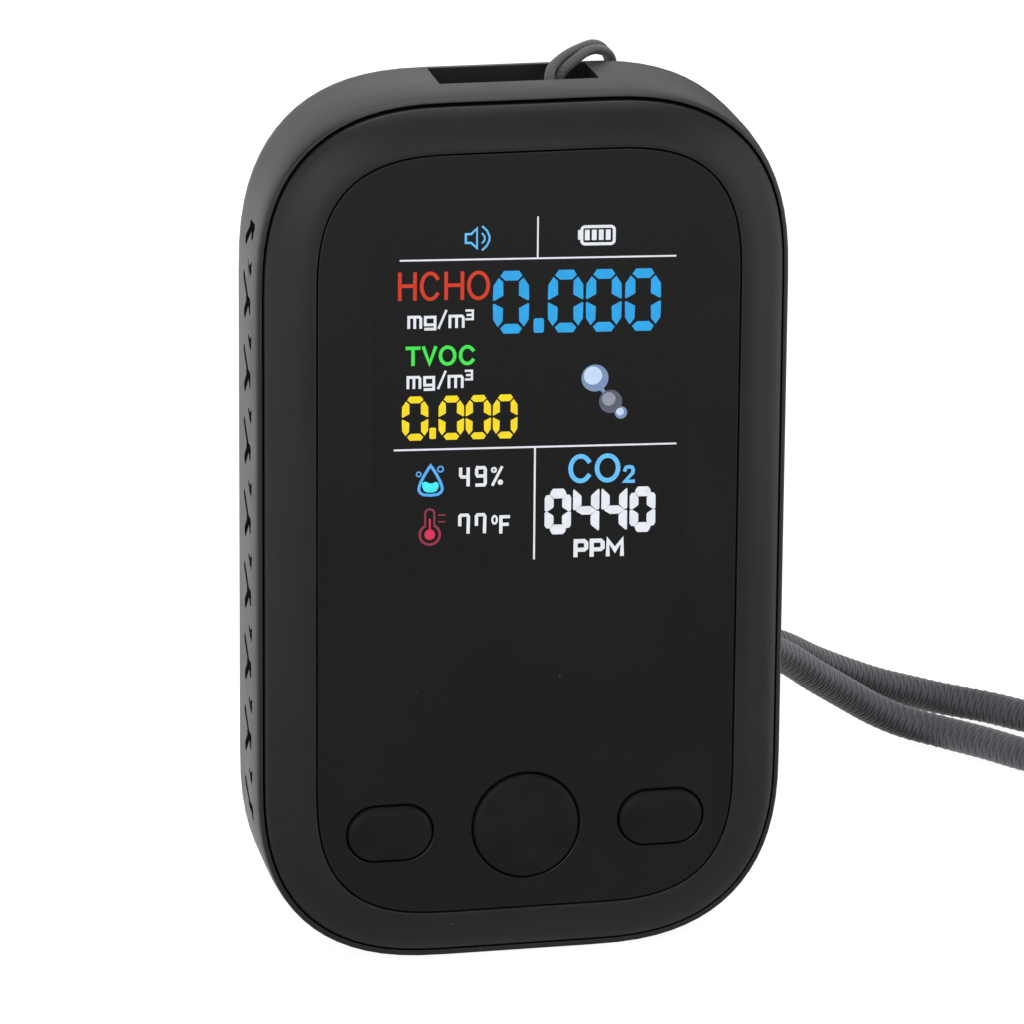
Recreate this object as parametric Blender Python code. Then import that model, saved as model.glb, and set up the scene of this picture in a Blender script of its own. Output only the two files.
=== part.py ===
"""Pocket air quality monitor: rear shell, front frame, panel with three keys, display, board, cell and wrist strap.

Run with: blender --background --python part.py
Metres, +Z up, front facing -Y. The origin is under the middle of the case, on the surface that it stands on.
"""

import math

import bmesh
import bpy
from mathutils import Matrix, Vector

MM = 0.001

# ---- driving dimensions, in millimetres ----
CASE_W = 46.6          # across the rear shell
CASE_H = 77.0          # from the bottom of the shell to its top
CASE_BACK_Y = 8.15     # the flat back
SEAM_Y = -5.55         # the shell's front rim, where it meets the front frame
PANEL_Y = -7.65        # the front face of the glass panel
KEY_PROUD = 0.5        # how far the keys stand out of the panel
CASE_R = 13.2          # corner radius of the shell seen from the front
WALL = 1.3             # shell wall
BACK_ROUND = 4.0       # rounding between the sides and the back
GAP = 0.3              # clearance between neighbouring pieces

FRAME_INSET = 0.82     # from the shell's outline in to the front frame's outline
PANEL_INSET = 4.72     # from the shell's outline in to the opening for the panel
LEDGE = 1.25           # width of the ledge that the panel is glued on
PANEL_T = 0.9

KEY_Z = 12.3           # height of the three keys
PILL_X = 12.06         # centres of the two outer keys, either side of the middle
PILL_HOLE = (3.86, 2.58)   # half length and half height of a pill-shaped hole
ROUND_HOLE = 4.81      # radius of the middle hole
KEY_TRAVEL_ROOM = 0.45     # space behind the plunger that the key travels in

DISPLAY_X, DISPLAY_Z = 0.2, 51.1       # middle of the picture
PICTURE_W, PICTURE_H = 27.97, 32.63    # a 1.69 inch display of 240 by 280 dots

BOARD_Y = (-2.4, -1.2)     # front and back of the circuit board
BOARD_INSET = 3.1

POCKET_W, POCKET_DEEP = 14.0, 6.5      # the lanyard pocket in the top
POCKET_Y = (-0.9, 3.7)
PIN_Y, PIN_Z, PIN_R = 1.4, 72.8, 1.0

VENT_PITCH = 6.47      # between two big vent marks, up the side
VENT_MID_Y = -1.45
VENT_SLOT = 0.8        # width of a vent slot
POST_X, POST_Z = 19.0, 18.5            # board posts, from the middle of the case

THIN_CORD, THICK_CORD = 0.85, 3.1      # cord diameters
FERRULE = (11.5, 10.8, 38.3, 48.0)     # the ferrule's x, y, bottom and top

HALF_W, MID_Z = CASE_W / 2, CASE_H / 2


# ---- scene and material helpers ---------------------------------------------------------------------------------
def clear_scene():
    for obj in list(bpy.data.objects):
        bpy.data.objects.remove(obj, do_unlink=True)


def collection(name):
    made = bpy.data.collections.new(name)
    bpy.context.scene.collection.children.link(made)
    return made


def material(name, colour, roughness, metallic=0.0):
    mat = bpy.data.materials.new(name)
    mat.use_nodes = True
    shader = mat.node_tree.nodes["Principled BSDF"]
    shader.inputs["Base Color"].default_value = (*colour, 1.0)
    shader.inputs["Roughness"].default_value = roughness
    shader.inputs["Metallic"].default_value = metallic
    return mat


clear_scene()
PARTS = collection("air_quality_monitor")
CUTTERS = collection("cutters")

CASE_PLASTIC = material("case_plastic", (0.075, 0.075, 0.078), 0.55)
FRAME_PLASTIC = material("frame_plastic", (0.035, 0.035, 0.036), 0.45)
GLASS = material("panel_glass", (0.015, 0.015, 0.016), 0.12)
KEY_PLASTIC = material("key_plastic", (0.022, 0.022, 0.023), 0.5)
FOAM = material("foam", (0.03, 0.03, 0.03), 0.9)
DISPLAY_GLASS = material("display_glass", (0.02, 0.02, 0.025), 0.2)
WHITE_PLASTIC = material("white_plastic", (0.75, 0.75, 0.73), 0.4)
POLYIMIDE = material("polyimide", (0.45, 0.2, 0.04), 0.4)
BOARD = material("board", (0.01, 0.09, 0.04), 0.5)
CHIP = material("chip", (0.02, 0.02, 0.02), 0.6)
TINPLATE = material("tinplate", (0.6, 0.6, 0.58), 0.35, 1.0)
STEEL = material("steel", (0.55, 0.55, 0.56), 0.3, 1.0)
POUCH = material("pouch", (0.5, 0.5, 0.52), 0.4, 0.8)
CORD = material("cord", (0.06, 0.06, 0.065), 0.85)
WIRE = material("wire", (0.35, 0.02, 0.02), 0.5)


# ---- shape helpers ----------------------------------------------------------------------------------------------
def add_object(name, mesh, mat, into=None, sharp_deg=30.0):
    """Links a mesh as an object in the parts collection, shaded smooth with its sharp edges kept."""
    mesh.materials.append(mat)
    mesh.shade_smooth()
    mesh.set_sharp_from_angle(angle=math.radians(sharp_deg))
    obj = bpy.data.objects.new(name, mesh)
    (into or PARTS).objects.link(obj)
    return obj


def finish_mesh(name, bm):
    bmesh.ops.recalc_face_normals(bm, faces=bm.faces)
    mesh = bpy.data.meshes.new(name)
    bm.to_mesh(mesh)
    bm.free()
    return mesh


def outline(half_w, half_h, radius, mid=(0.0, MID_Z), steps=7):
    """Points (x, z) round a rounded rectangle, with each corner an arc of the given number of steps."""
    points = []
    for corner in range(4):
        start = corner * math.pi / 2
        cx = (half_w - radius) * (1 if corner in (0, 3) else -1)
        cz = (half_h - radius) * (1 if corner in (0, 1) else -1)
        for k in range(steps + 1):
            a = start + k / steps * math.pi / 2
            points.append((mid[0] + cx + radius * math.cos(a), mid[1] + cz + radius * math.sin(a)))
    return points


def case_outline(inset):
    """The shell's outline from the front, moved in by inset."""
    return outline(HALF_W - inset, MID_Z - inset, CASE_R - inset)


def stadium(half_len, half_h, mid, steps=8):
    return outline(half_len, half_h, min(half_len, half_h) - 0.001, mid, steps)


def arc(start, end, bulge_first, steps):
    """A quarter ellipse between two (inset, y) points that leaves start along y (or along inset)."""
    points = []
    for k in range(steps + 1):
        a = k / steps * math.pi / 2
        u, v = (1 - math.cos(a), math.sin(a)) if bulge_first else (math.sin(a), 1 - math.cos(a))
        points.append((start[0] + (end[0] - start[0]) * u, start[1] + (end[1] - start[1]) * v))
    return points


def loft(name, rings, ring_closed=False):
    """Skins rings of (x, y, z) millimetre points; the ends are capped unless the last ring joins the first."""
    bm = bmesh.new()
    rows = [[bm.verts.new(Vector(p) * MM) for p in ring] for ring in rings]
    pairs = list(zip(rows, rows[1:])) + ([(rows[-1], rows[0])] if ring_closed else [])
    count = len(rows[0])
    for low, high in pairs:
        for k in range(count):
            bm.faces.new((low[k], low[(k + 1) % count], high[(k + 1) % count], high[k]))
    if not ring_closed:
        bm.faces.new(rows[0])
        bm.faces.new(rows[-1])
    return finish_mesh(name, bm)


def at_depth(points, y):
    return [(x, y, z) for x, z in points]


def prism(name, points, y_front, y_back):
    return loft(name, [at_depth(points, y_front), at_depth(points, y_back)])


def box(name, low, high, bevel=0.0):
    """A box between two corners, with its edges bevelled."""
    bm = bmesh.new()
    bmesh.ops.create_cube(bm, size=1.0)
    size = Vector(high) - Vector(low)
    middle = (Vector(high) + Vector(low)) / 2
    place = Matrix.Translation(middle * MM) @ Matrix.Diagonal((*(size * MM), 1.0))
    bmesh.ops.transform(bm, matrix=place, verts=bm.verts)
    if bevel:
        bmesh.ops.bevel(bm, geom=bm.edges[:], offset=bevel * MM, segments=2, affect="EDGES", profile=0.5)
    return finish_mesh(name, bm)


def rod(name, start, end, radius, segments=20):
    """A round bar between two points."""
    bm = bmesh.new()
    axis = (Vector(end) - Vector(start)) * MM
    turn = Vector((0, 0, 1)).rotation_difference(axis).to_matrix().to_4x4()
    place = Matrix.Translation((Vector(end) + Vector(start)) / 2 * MM) @ turn
    bmesh.ops.create_cone(bm, cap_ends=True, segments=segments, radius1=radius * MM, radius2=radius * MM,
                          depth=axis.length, matrix=place)
    return finish_mesh(name, bm)


def joined(name, meshes):
    """One mesh holding several meshes as separate islands."""
    bm = bmesh.new()
    for mesh in meshes:
        bm.from_mesh(mesh)
        bpy.data.meshes.remove(mesh)
    return finish_mesh(name, bm)


def boolean(obj, mesh, operation="DIFFERENCE"):
    """Cuts a mesh out of an object, or joins it on, with a modifier and a hidden cutter."""
    cutter = bpy.data.objects.new(f"{obj.name}_{operation.lower()}_{len(obj.modifiers)}", mesh)
    CUTTERS.objects.link(cutter)
    cutter.hide_render = True
    cutter.display_type = "WIRE"
    modifier = obj.modifiers.new(operation.title(), "BOOLEAN")
    modifier.operation = operation
    modifier.solver = "EXACT"
    modifier.object = cutter
    return cutter


def smooth_route(points, spacing):
    """Points about spacing apart along a Catmull-Rom curve through the given ones."""
    knots = [Vector(p) for p in points]
    knots = [2 * knots[0] - knots[1], *knots, 2 * knots[-1] - knots[-2]]
    dense = []
    for a, b, c, d in zip(knots, knots[1:], knots[2:], knots[3:]):
        for k in range(16):
            t = k / 16
            dense.append(0.5 * (2 * b + (c - a) * t + (2 * a - 5 * b + 4 * c - d) * t * t
                                + (3 * b - a - 3 * c + d) * t * t * t))
    dense.append(knots[-2])
    length = sum((q - p).length for p, q in zip(dense, dense[1:]))
    count = max(2, round(length / spacing))
    route, walked, goal = [dense[0]], 0.0, length / count
    for p, q in zip(dense, dense[1:]):
        step = (q - p).length
        while walked + step >= goal * len(route) and len(route) < count:
            route.append(p.lerp(q, (goal * len(route) - walked) / step))
        walked += step
    return [*route, dense[-1]]


def tube(name, points, diameter, mat, spacing):
    """A cord: a curve object with a round bevel and filled caps along a smooth route."""
    curve = bpy.data.curves.new(name, "CURVE")
    curve.dimensions = "3D"
    curve.bevel_depth = diameter / 2 * MM
    curve.bevel_resolution = 2
    curve.use_fill_caps = True
    spline = curve.splines.new("POLY")
    route = smooth_route(points, spacing)
    spline.points.add(len(route) - 1)
    for point, place in zip(spline.points, route):
        point.co = (*(place * MM), 1.0)
    curve.materials.append(mat)
    obj = bpy.data.objects.new(name, curve)
    PARTS.objects.link(obj)
    return obj


# ---- rear shell -------------------------------------------------------------------------------------------------
def vent_mark(y, z, arms):
    """A vent mark through both side walls: one slot for each arm, an (along y, along z) pair."""
    slots = []
    for dy, dz in arms:
        length = math.hypot(dy, dz)
        slot = box("slot", (-HALF_W - 2, -VENT_SLOT / 2, -VENT_SLOT / 2), (HALF_W + 2, length, VENT_SLOT / 2))
        slot.transform(Matrix.Translation(Vector((0, y, z)) * MM) @ Matrix.Rotation(math.atan2(dz, dy), 4, "X"))
        slots.append(slot)
    return slots


def vent_cutters():
    """Three sets of slots, one for each arm of the marks, so that no set overlaps itself."""
    big = ((2.45, 1.8), (2.1, -2.25), (-0.8, -0.65))
    small = ((1.2, 0.4), (-0.6, 1.0), (-0.1, -0.65))
    sets = [[], [], []]
    for row in range(-4, 5):
        z = MID_Z + 0.7 + row * VENT_PITCH
        for k, slot in enumerate(vent_mark(VENT_MID_Y, z, big)):
            if (row, k) in ((4, 0), (-4, 1)):
                bpy.data.meshes.remove(slot)
                continue
            sets[k].append(slot)
        if row < 4:
            for k, slot in enumerate(vent_mark(VENT_MID_Y - 1.1, z + VENT_PITCH / 2, small)):
                sets[k].append(slot)
    return [joined(f"vents_{k}", slots) for k, slots in enumerate(sets)]


def rear_shell():
    back = reversed(arc((0.0, CASE_BACK_Y - BACK_ROUND), (BACK_ROUND, CASE_BACK_Y), True, 5))
    rim = [(0.0, SEAM_Y + 1.1), (0.08, SEAM_Y + 0.5), (0.25, SEAM_Y + 0.15), (0.5, SEAM_Y)]
    rebate = [(0.5, SEAM_Y + 1.35), (WALL, SEAM_Y + 1.35)]
    inside = arc((WALL, CASE_BACK_Y - BACK_ROUND), (BACK_ROUND + 0.4, CASE_BACK_Y - WALL), True, 3)
    rings = [at_depth(case_outline(inset), y) for inset, y in [*back, *rim, *rebate, *inside]]
    shell = add_object("rear_shell", loft("rear_shell", rings), CASE_PLASTIC)

    side, floor_z = POCKET_W / 2, CASE_H - POCKET_DEEP
    boss = box("boss", (-side - 1.2, POCKET_Y[0] - 1.1, floor_z - 1.2), (side + 1.2, POCKET_Y[1] + 1.1, CASE_H - 0.4))
    boolean(shell, boss, "UNION")
    boolean(shell, box("pocket", (-side, POCKET_Y[0], floor_z), (side, POCKET_Y[1], CASE_H + 2)))
    boolean(shell, rod("pin_hole", (-side - 3, PIN_Y, PIN_Z), (side + 3, PIN_Y, PIN_Z), PIN_R + GAP, 16))
    boolean(shell, prism_along_z("usb_opening", (4.9, 2.0), (0.0, 0.7), -2.0, 2.6))
    for cutter in vent_cutters():
        boolean(shell, cutter)


def prism_along_z(name, half, mid, z_low, z_high, steps=5):
    """An upright prism with a rounded oblong section, half = (along x, along y)."""
    section = outline(half[0], half[1], min(half) - 0.01, mid, steps)
    return loft(name, [[(x, y, z) for x, y in section] for z in (z_low, z_high)])


# ---- front frame, panel and keys --------------------------------------------------------------------------------
def front_frame():
    """The bezel: a skirt inside the shell's rim, a sloping face that turns flat at the panel, and its ledge."""
    skirt_y = SEAM_Y + 1.05
    depth = PANEL_Y - SEAM_Y
    face = [(0.0, SEAM_Y - 0.05), (0.2, SEAM_Y + 0.14 * depth), (1.5, SEAM_Y + 0.52 * depth),
            (2.8, SEAM_Y + 0.86 * depth), (3.4, SEAM_Y + 0.97 * depth), (PANEL_INSET - FRAME_INSET, PANEL_Y)]
    ledge_y = PANEL_Y + PANEL_T + 3 * GAP
    opening = PANEL_INSET - FRAME_INSET
    profile = [(0.0, skirt_y), *face, (opening, ledge_y), (opening + LEDGE, ledge_y), (opening + LEDGE, skirt_y)]
    rings = [at_depth(case_outline(FRAME_INSET + inset), y) for inset, y in profile]
    frame = add_object("front_frame", loft("front_frame", rings, ring_closed=True), FRAME_PLASTIC)
    posts, bores = [], []
    for x in (-POST_X, POST_X):
        for z in (MID_Z - POST_Z, MID_Z + POST_Z):
            posts.append(rod("post", (x, skirt_y - 0.2, z), (x, BOARD_Y[0] - GAP, z), 1.8, 16))
            bores.append(rod("bore", (x, skirt_y - 0.4, z), (x, BOARD_Y[0] + 1, z), 1.0, 12))
    boolean(frame, joined("posts", posts), "UNION")
    boolean(frame, joined("bores", bores))


def front_panel():
    gap_inset = PANEL_INSET + GAP
    rings = [at_depth(case_outline(gap_inset + 0.12), PANEL_Y), at_depth(case_outline(gap_inset), PANEL_Y + 0.12),
             at_depth(case_outline(gap_inset), PANEL_Y + PANEL_T)]
    panel = add_object("front_panel", loft("front_panel", rings), GLASS)
    front, back = PANEL_Y - 1, PANEL_Y + PANEL_T + 1
    holes = [prism("hole", stadium(*PILL_HOLE, (x, KEY_Z)), front, back) for x in (-PILL_X, PILL_X)]
    holes.append(rod("hole", (0, front, KEY_Z), (0, back, KEY_Z), ROUND_HOLE, 40))
    boolean(panel, joined("key_holes", holes))


def panel_gasket():
    front = PANEL_Y + PANEL_T + GAP
    low, high = PANEL_INSET + GAP + 0.1, PANEL_INSET + LEDGE - 0.1
    rings = [at_depth(case_outline(inset), y)
             for inset, y in ((low, front), (high, front), (high, front + GAP), (low, front + GAP))]
    add_object("panel_gasket", loft("panel_gasket", rings, ring_closed=True), FOAM)


def key(name, x, half):
    """A key cap with a flange behind the panel and a stem, and its plunger and switch on the board.

    The cap's origin is in the middle of its front face, and the plunger, which moves with it, is its child.
    """
    cap = (half[0] - GAP, half[1] - GAP)
    flange = (cap[0] + 0.5, cap[1] + 0.5)
    top = PANEL_Y - KEY_PROUD
    flange_y = KEY_PROUD + PANEL_T + GAP
    sections = [(cap[0] - 0.35, cap[1] - 0.35, 0.0), (cap[0] - 0.1, cap[1] - 0.1, 0.08), (*cap, 0.3),
                (*cap, flange_y), (*flange, flange_y), (*flange, flange_y + 0.6), (1.3, 1.3, flange_y + 0.6),
                (1.3, 1.3, flange_y + 1.2)]
    rings = [at_depth(stadium(a, b, (0, 0)), y) for a, b, y in sections]
    key_cap = add_object(f"key_{name}", loft(name, rings), KEY_PLASTIC)
    key_cap.location = (x * MM, top * MM, KEY_Z * MM)

    plunger_y = flange_y + 1.2 + GAP
    sections = ((0.9, plunger_y), (1.15, plunger_y + 0.15), (1.15, plunger_y + 0.6))
    rings = [at_depth(stadium(r, r, (0, 0), 5), y) for r, y in sections]
    plunger = add_object(f"switch_plunger_{name}", loft("plunger", rings), KEY_PLASTIC)
    plunger.parent = key_cap

    body_y = top + plunger_y + 0.6 + KEY_TRAVEL_ROOM
    body = box("switch", (x - 2.25, body_y, KEY_Z - 2.25), (x + 2.25, BOARD_Y[0] - GAP, KEY_Z + 2.25), 0.15)
    add_object(f"switch_{name}", body, TINPLATE)


# ---- display ----------------------------------------------------------------------------------------------------
def display():
    front = PANEL_Y + PANEL_T + 0.4
    left, right = DISPLAY_X - PICTURE_W / 2 - 1.05, DISPLAY_X + PICTURE_W / 2 + 1.05
    top, bottom = DISPLAY_Z + PICTURE_H / 2 + 1.2, DISPLAY_Z - PICTURE_H / 2 - 3.6
    mid = ((left + right) / 2, (top + bottom) / 2)
    half = ((right - left) / 2, (top - bottom) / 2)
    cell = prism("cell", outline(*half, 2.6, mid, 4), front, front + 1.4)
    add_object("display_cell", cell, DISPLAY_GLASS)

    tray_y = front + 1.4 + GAP
    tray = prism("tray", outline(half[0] + 0.4, half[1] + 0.4, 3.0, mid, 4), tray_y, tray_y + 1.0)
    tray = add_object("display_backlight", tray, WHITE_PLASTIC)
    boolean(tray, prism("recess", outline(half[0] - 1, half[1] - 1, 2.0, mid, 4), tray_y + 0.7, tray_y + 2))

    path = [(front + 0.7, bottom - 0.4), (front + 0.9, bottom - 1.5), (front + 1.9, bottom - 2.5),
            (front + 2.8, bottom - 2.4), (BOARD_Y[0] - 0.5, bottom - 1.4), (BOARD_Y[0] - 0.45, bottom + 0.6)]
    ribbon("display_flex", path, 6.0, 0.15)


def ribbon(name, path, half_w, thickness):
    """A flexible strip that follows (y, z) points, DISPLAY_X in its middle."""
    rings = []
    for k, (y, z) in enumerate(path):
        before, after = path[max(k - 1, 0)], path[min(k + 1, len(path) - 1)]
        along = Vector((after[0] - before[0], after[1] - before[1])).normalized()
        across = Vector((-along.y, along.x)) * thickness / 2
        rings.append([(DISPLAY_X + side * half_w, y + turn * across.x, z + turn * across.y)
                      for side, turn in ((-1, -1), (1, -1), (1, 1), (-1, 1))])
    add_object(name, loft(name, rings), POLYIMIDE)


# ---- board and what is on it ------------------------------------------------------------------------------------
def main_board():
    board = add_object("main_board", prism("main_board", case_outline(BOARD_INSET), *BOARD_Y), BOARD)
    notch_x, notch_z = POCKET_W / 2 + 1.6, CASE_H - POCKET_DEEP - 1.9
    boolean(board, box("notch", (-notch_x, BOARD_Y[0] - 1, notch_z), (notch_x, BOARD_Y[1] + 1, CASE_H)))
    holes = [rod("hole", (x, BOARD_Y[0] - 1, z), (x, BOARD_Y[1] + 1, z), 1.0, 12)
             for x in (-POST_X, POST_X) for z in (MID_Z - POST_Z, MID_Z + POST_Z)]
    boolean(board, joined("screw_holes", holes))


def board_screws():
    """Four pan-head screws through the board into the frame's posts, all sharing one mesh."""
    head_y, tip_y = BOARD_Y[1] + GAP, BOARD_Y[0] - 1.9
    sections = ((1.0, head_y + 0.9), (1.5, head_y + 0.6), (1.5, head_y),
                (0.7, head_y), (0.7, tip_y + 0.3), (0.4, tip_y))
    mesh = loft("board_screw", [at_depth(stadium(r, r, (0, 0), 4), y) for r, y in sections])
    corners = [(x, z) for z in (MID_Z + POST_Z, MID_Z - POST_Z) for x in (-POST_X, POST_X)]
    for name, (x, z) in zip(("top_left", "top_right", "bottom_left", "bottom_right"), corners):
        if mesh.materials:
            screw = bpy.data.objects.new(f"board_screw_{name}", mesh)
            PARTS.objects.link(screw)
        else:
            screw = add_object(f"board_screw_{name}", mesh, STEEL)
        screw.location = (x * MM, 0, z * MM)


def on_board(name, mid, size, mat, bevel=0.15):
    """A component on the back of the board: mid = (x, z), size = (across, deep, high)."""
    y = BOARD_Y[1] + GAP
    mesh = box(name, (mid[0] - size[0] / 2, y, mid[1] - size[2] / 2),
               (mid[0] + size[0] / 2, y + size[1], mid[1] + size[2] / 2), bevel)
    return add_object(name, mesh, mat)


def components():
    on_board("controller_chip", (0, 58.5), (7.0, 0.9, 7.0), CHIP)
    co2 = on_board("co2_sensor", (-13.7, 65.5), (9.4, 5.5, 9.8), TINPLATE, 0.3)
    ports = [rod("port", (-13.7 + dx, 3.6, 65.5 + dz), (-13.7 + dx, 7, 65.5 + dz), 0.6, 10)
             for dx in (-2.5, 0, 2.5) for dz in (-2, 2)]
    boolean(co2, joined("co2_ports", ports))
    hcho = on_board("hcho_sensor", (13.7, 65.5), (9.0, 4.2, 9.0), WHITE_PLASTIC, 0.4)
    boolean(hcho, rod("mouth", (13.7, 2.6, 65.5), (13.7, 6, 65.5), 2.6, 24))
    on_board("tvoc_sensor", (-12.0, 57.6), (3.0, 1.0, 3.0), TINPLATE)
    on_board("humidity_sensor", (12.0, 57.6), (2.5, 0.9, 2.5), CHIP)
    buzzer = on_board("buzzer", (13.0, 8.6), (8.5, 2.6, 6.4), CHIP, 0.3)
    boolean(buzzer, rod("sound_hole", (13.0, 0.6, 8.6), (13.0, 4, 8.6), 0.8, 14))
    on_board("battery_plug", (-11.5, 8.8), (6.0, 3.2, 4.6), WHITE_PLASTIC, 0.2)
    usb_port()


def usb_port():
    """A USB-C receptacle on the board's edge, open downwards, with its tongue inside."""
    mid = (0.0, 0.7)
    y_half = 1.6
    rings = []
    mouth = y_half - 0.3
    for half_x, half_y, z in ((4.47, y_half, 8.0), (4.47, y_half, 0.8), (4.17, mouth, 0.8), (4.17, mouth, 6.6)):
        section = outline(half_x, half_y, half_y - 0.01, mid, 5)
        rings.append([(x, y, z) for x, y in section])
    port = add_object("usb_port", loft("usb_port", rings), TINPLATE)
    boolean(port, box("tongue", (-3.3, mid[1] - 0.35, 2.0), (3.3, mid[1] + 0.35, 6.9)), "UNION")


# ---- battery ----------------------------------------------------------------------------------------------------
def battery():
    cell = box("battery", (-16.4, 1.4, 13.0), (16.4, 6.2, 52.4), 1.1)
    add_object("battery", cell, POUCH)
    add_object("battery_pad", box("pad", (-14.0, 0.0, 15.0), (14.0, 1.0, 50.0), 0.1), FOAM)
    lead = [(-7.5, 3.8, 12.6), (-7.5, 3.9, 11.6), (-6.8, 4.0, 10.4), (-6.2, 3.6, 9.4), (-6.4, 2.6, 8.8),
            (-7.2, 1.4, 8.8), (-8.1, 0.9, 8.8)]
    tube("battery_lead", lead, 1.1, WIRE, 1.0)


# ---- wrist strap ------------------------------------------------------------------------------------------------
def lanyard():
    side = POCKET_W / 2
    pin = rod("lanyard_pin", (-side - 1.0, PIN_Y, PIN_Z), (side + 1.0, PIN_Y, PIN_Z), PIN_R, 16)
    add_object("lanyard_pin", pin, STEEL)

    x, y, low, high = FERRULE
    sections = ((3.6, 2.0, low), (4.0, 2.2, low + 0.4), (4.0, 2.2, low + 5.0), (2.6, 1.6, high - 1.2),
                (1.7, 1.2, high))
    rings = [[(px, py, z) for px, py in outline(a, b, b - 0.01, (x, y), 6)] for a, b, z in sections]
    add_object("lanyard_ferrule", loft("lanyard_ferrule", rings), CORD)

    thin = [(12.0, 10.8, 48.3), (12.0, 10.5, 51.0), (11.95, 9.7, 56.0), (11.8, 9.3, 64.0), (11.72, 9.35, 70.2),
            (11.6, 9.5, 72.6), (11.35, 9.8, 74.3), (10.98, 9.95, 75.7), (10.5, 9.6, 76.85), (9.73, 8.66, 77.64),
            (8.77, 7.66, 78.03), (7.68, 6.46, 78.07), (6.25, 5.0, 77.93), (4.88, 3.55, 77.58), (3.9, 2.1, 77.2),
            (3.38, 0.75, 76.45), (3.3, 0.02, 75.0), (3.35, -0.2, 73.3), (3.45, 0.12, 71.85), (3.58, 0.85, 71.28),
            (3.72, 1.95, 71.28), (3.86, 2.75, 71.9), (3.98, 3.02, 73.0), (4.1, 2.8, 74.2), (4.26, 2.4, 75.2),
            (4.52, 2.22, 76.1), (5.0, 2.5, 76.82), (5.7, 3.06, 77.27), (6.62, 3.97, 77.64), (7.61, 5.1, 77.88),
            (8.64, 6.2, 77.87), (9.67, 7.3, 77.5), (10.4, 8.2, 76.98), (10.88, 8.9, 76.1), (10.85, 9.05, 74.5),
            (10.7, 9.0, 72.6), (10.66, 9.0, 70.2), (10.75, 9.1, 64.0), (10.95, 9.6, 56.0), (11.0, 10.5, 51.0),
            (11.0, 10.8, 48.3)]
    tube("lanyard_thin_loop", thin, THIN_CORD, CORD, 1.7)

    near = [(13.4, 10.8, 38.0), (13.5, 11.2, 34.0), (14.6, 13.0, 29.8), (17.5, 17.2, 25.0), (22.5, 23.8, 20.6),
            (28.5, 31.0, 16.6), (35.0, 37.4, 12.3), (38.9, 40.4, 9.3), (42.9, 42.9, 6.4), (46.3, 44.4, 4.1),
            (49.5, 44.9, 2.5), (52.8, 44.1, 1.6), (56.0, 39.7, 1.6), (58.6, 35.5, 1.6)]
    end = [(61.6, 31.6, 1.6), (65.2, 27.6, 1.6), (69.6, 24.6, 1.6), (74.6, 23.6, 1.6), (79.4, 25.6, 1.6),
           (82.0, 30.0, 1.6), (81.0, 34.8, 1.6), (76.8, 38.0, 1.6), (71.4, 39.8, 1.6), (66.2, 42.2, 1.6)]
    far = [(62.2, 47.3, 1.6), (59.4, 50.9, 1.6), (55.4, 52.5, 2.2), (51.4, 51.4, 3.6), (47.9, 49.9, 5.0),
           (44.3, 47.9, 6.8), (40.1, 44.9, 9.2), (36.0, 41.4, 11.9), (28.8, 35.0, 15.9), (21.0, 27.4, 20.5),
           (14.6, 20.2, 25.2), (10.7, 14.4, 30.0), (9.6, 11.4, 34.0), (9.6, 10.8, 38.0)]
    tube("lanyard_strap", [*near, *end, *far], THICK_CORD, CORD, 3.4)


def build():
    rear_shell()
    front_frame()
    front_panel()
    panel_gasket()
    for name, x, half in (("left", -PILL_X, PILL_HOLE), ("round", 0.0, (ROUND_HOLE, ROUND_HOLE)),
                          ("right", PILL_X, PILL_HOLE)):
        key(name, x, half)
    display()
    main_board()
    board_screws()
    components()
    battery()
    lanyard()


build()
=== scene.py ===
"""Looks for the pocket air quality monitor: camera, cords, case, lit display, inner parts and light."""
from math import atan2, cos, hypot, log, pi, radians, sin, sqrt

import bmesh
import bpy
import numpy as np
from mathutils import Matrix, Vector

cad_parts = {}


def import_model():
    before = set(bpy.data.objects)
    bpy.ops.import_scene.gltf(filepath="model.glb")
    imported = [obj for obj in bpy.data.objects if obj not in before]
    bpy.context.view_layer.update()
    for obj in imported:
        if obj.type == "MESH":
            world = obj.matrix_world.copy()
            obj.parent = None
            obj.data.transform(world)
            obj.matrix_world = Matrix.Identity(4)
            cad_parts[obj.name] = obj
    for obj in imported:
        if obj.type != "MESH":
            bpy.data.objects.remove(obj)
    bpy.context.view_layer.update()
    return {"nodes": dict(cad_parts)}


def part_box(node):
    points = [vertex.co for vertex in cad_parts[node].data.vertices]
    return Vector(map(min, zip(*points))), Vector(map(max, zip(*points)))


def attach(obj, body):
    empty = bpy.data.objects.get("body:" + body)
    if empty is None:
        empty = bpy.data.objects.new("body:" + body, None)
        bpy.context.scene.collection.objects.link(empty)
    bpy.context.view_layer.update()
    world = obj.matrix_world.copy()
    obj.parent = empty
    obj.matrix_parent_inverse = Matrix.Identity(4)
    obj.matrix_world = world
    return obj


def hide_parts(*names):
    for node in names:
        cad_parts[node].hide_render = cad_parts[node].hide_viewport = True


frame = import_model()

MM = 0.001


def link(name, data):
    obj = bpy.data.objects.new(name, data)
    bpy.context.scene.collection.objects.link(obj)
    return obj


def span(node):
    """Lowest and highest corner of a CAD node, in millimetres."""
    low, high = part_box(node)
    return low / MM, high / MM


def middle(node):
    return [(a + b) / 2 for a, b in zip(*span(node))]


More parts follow.
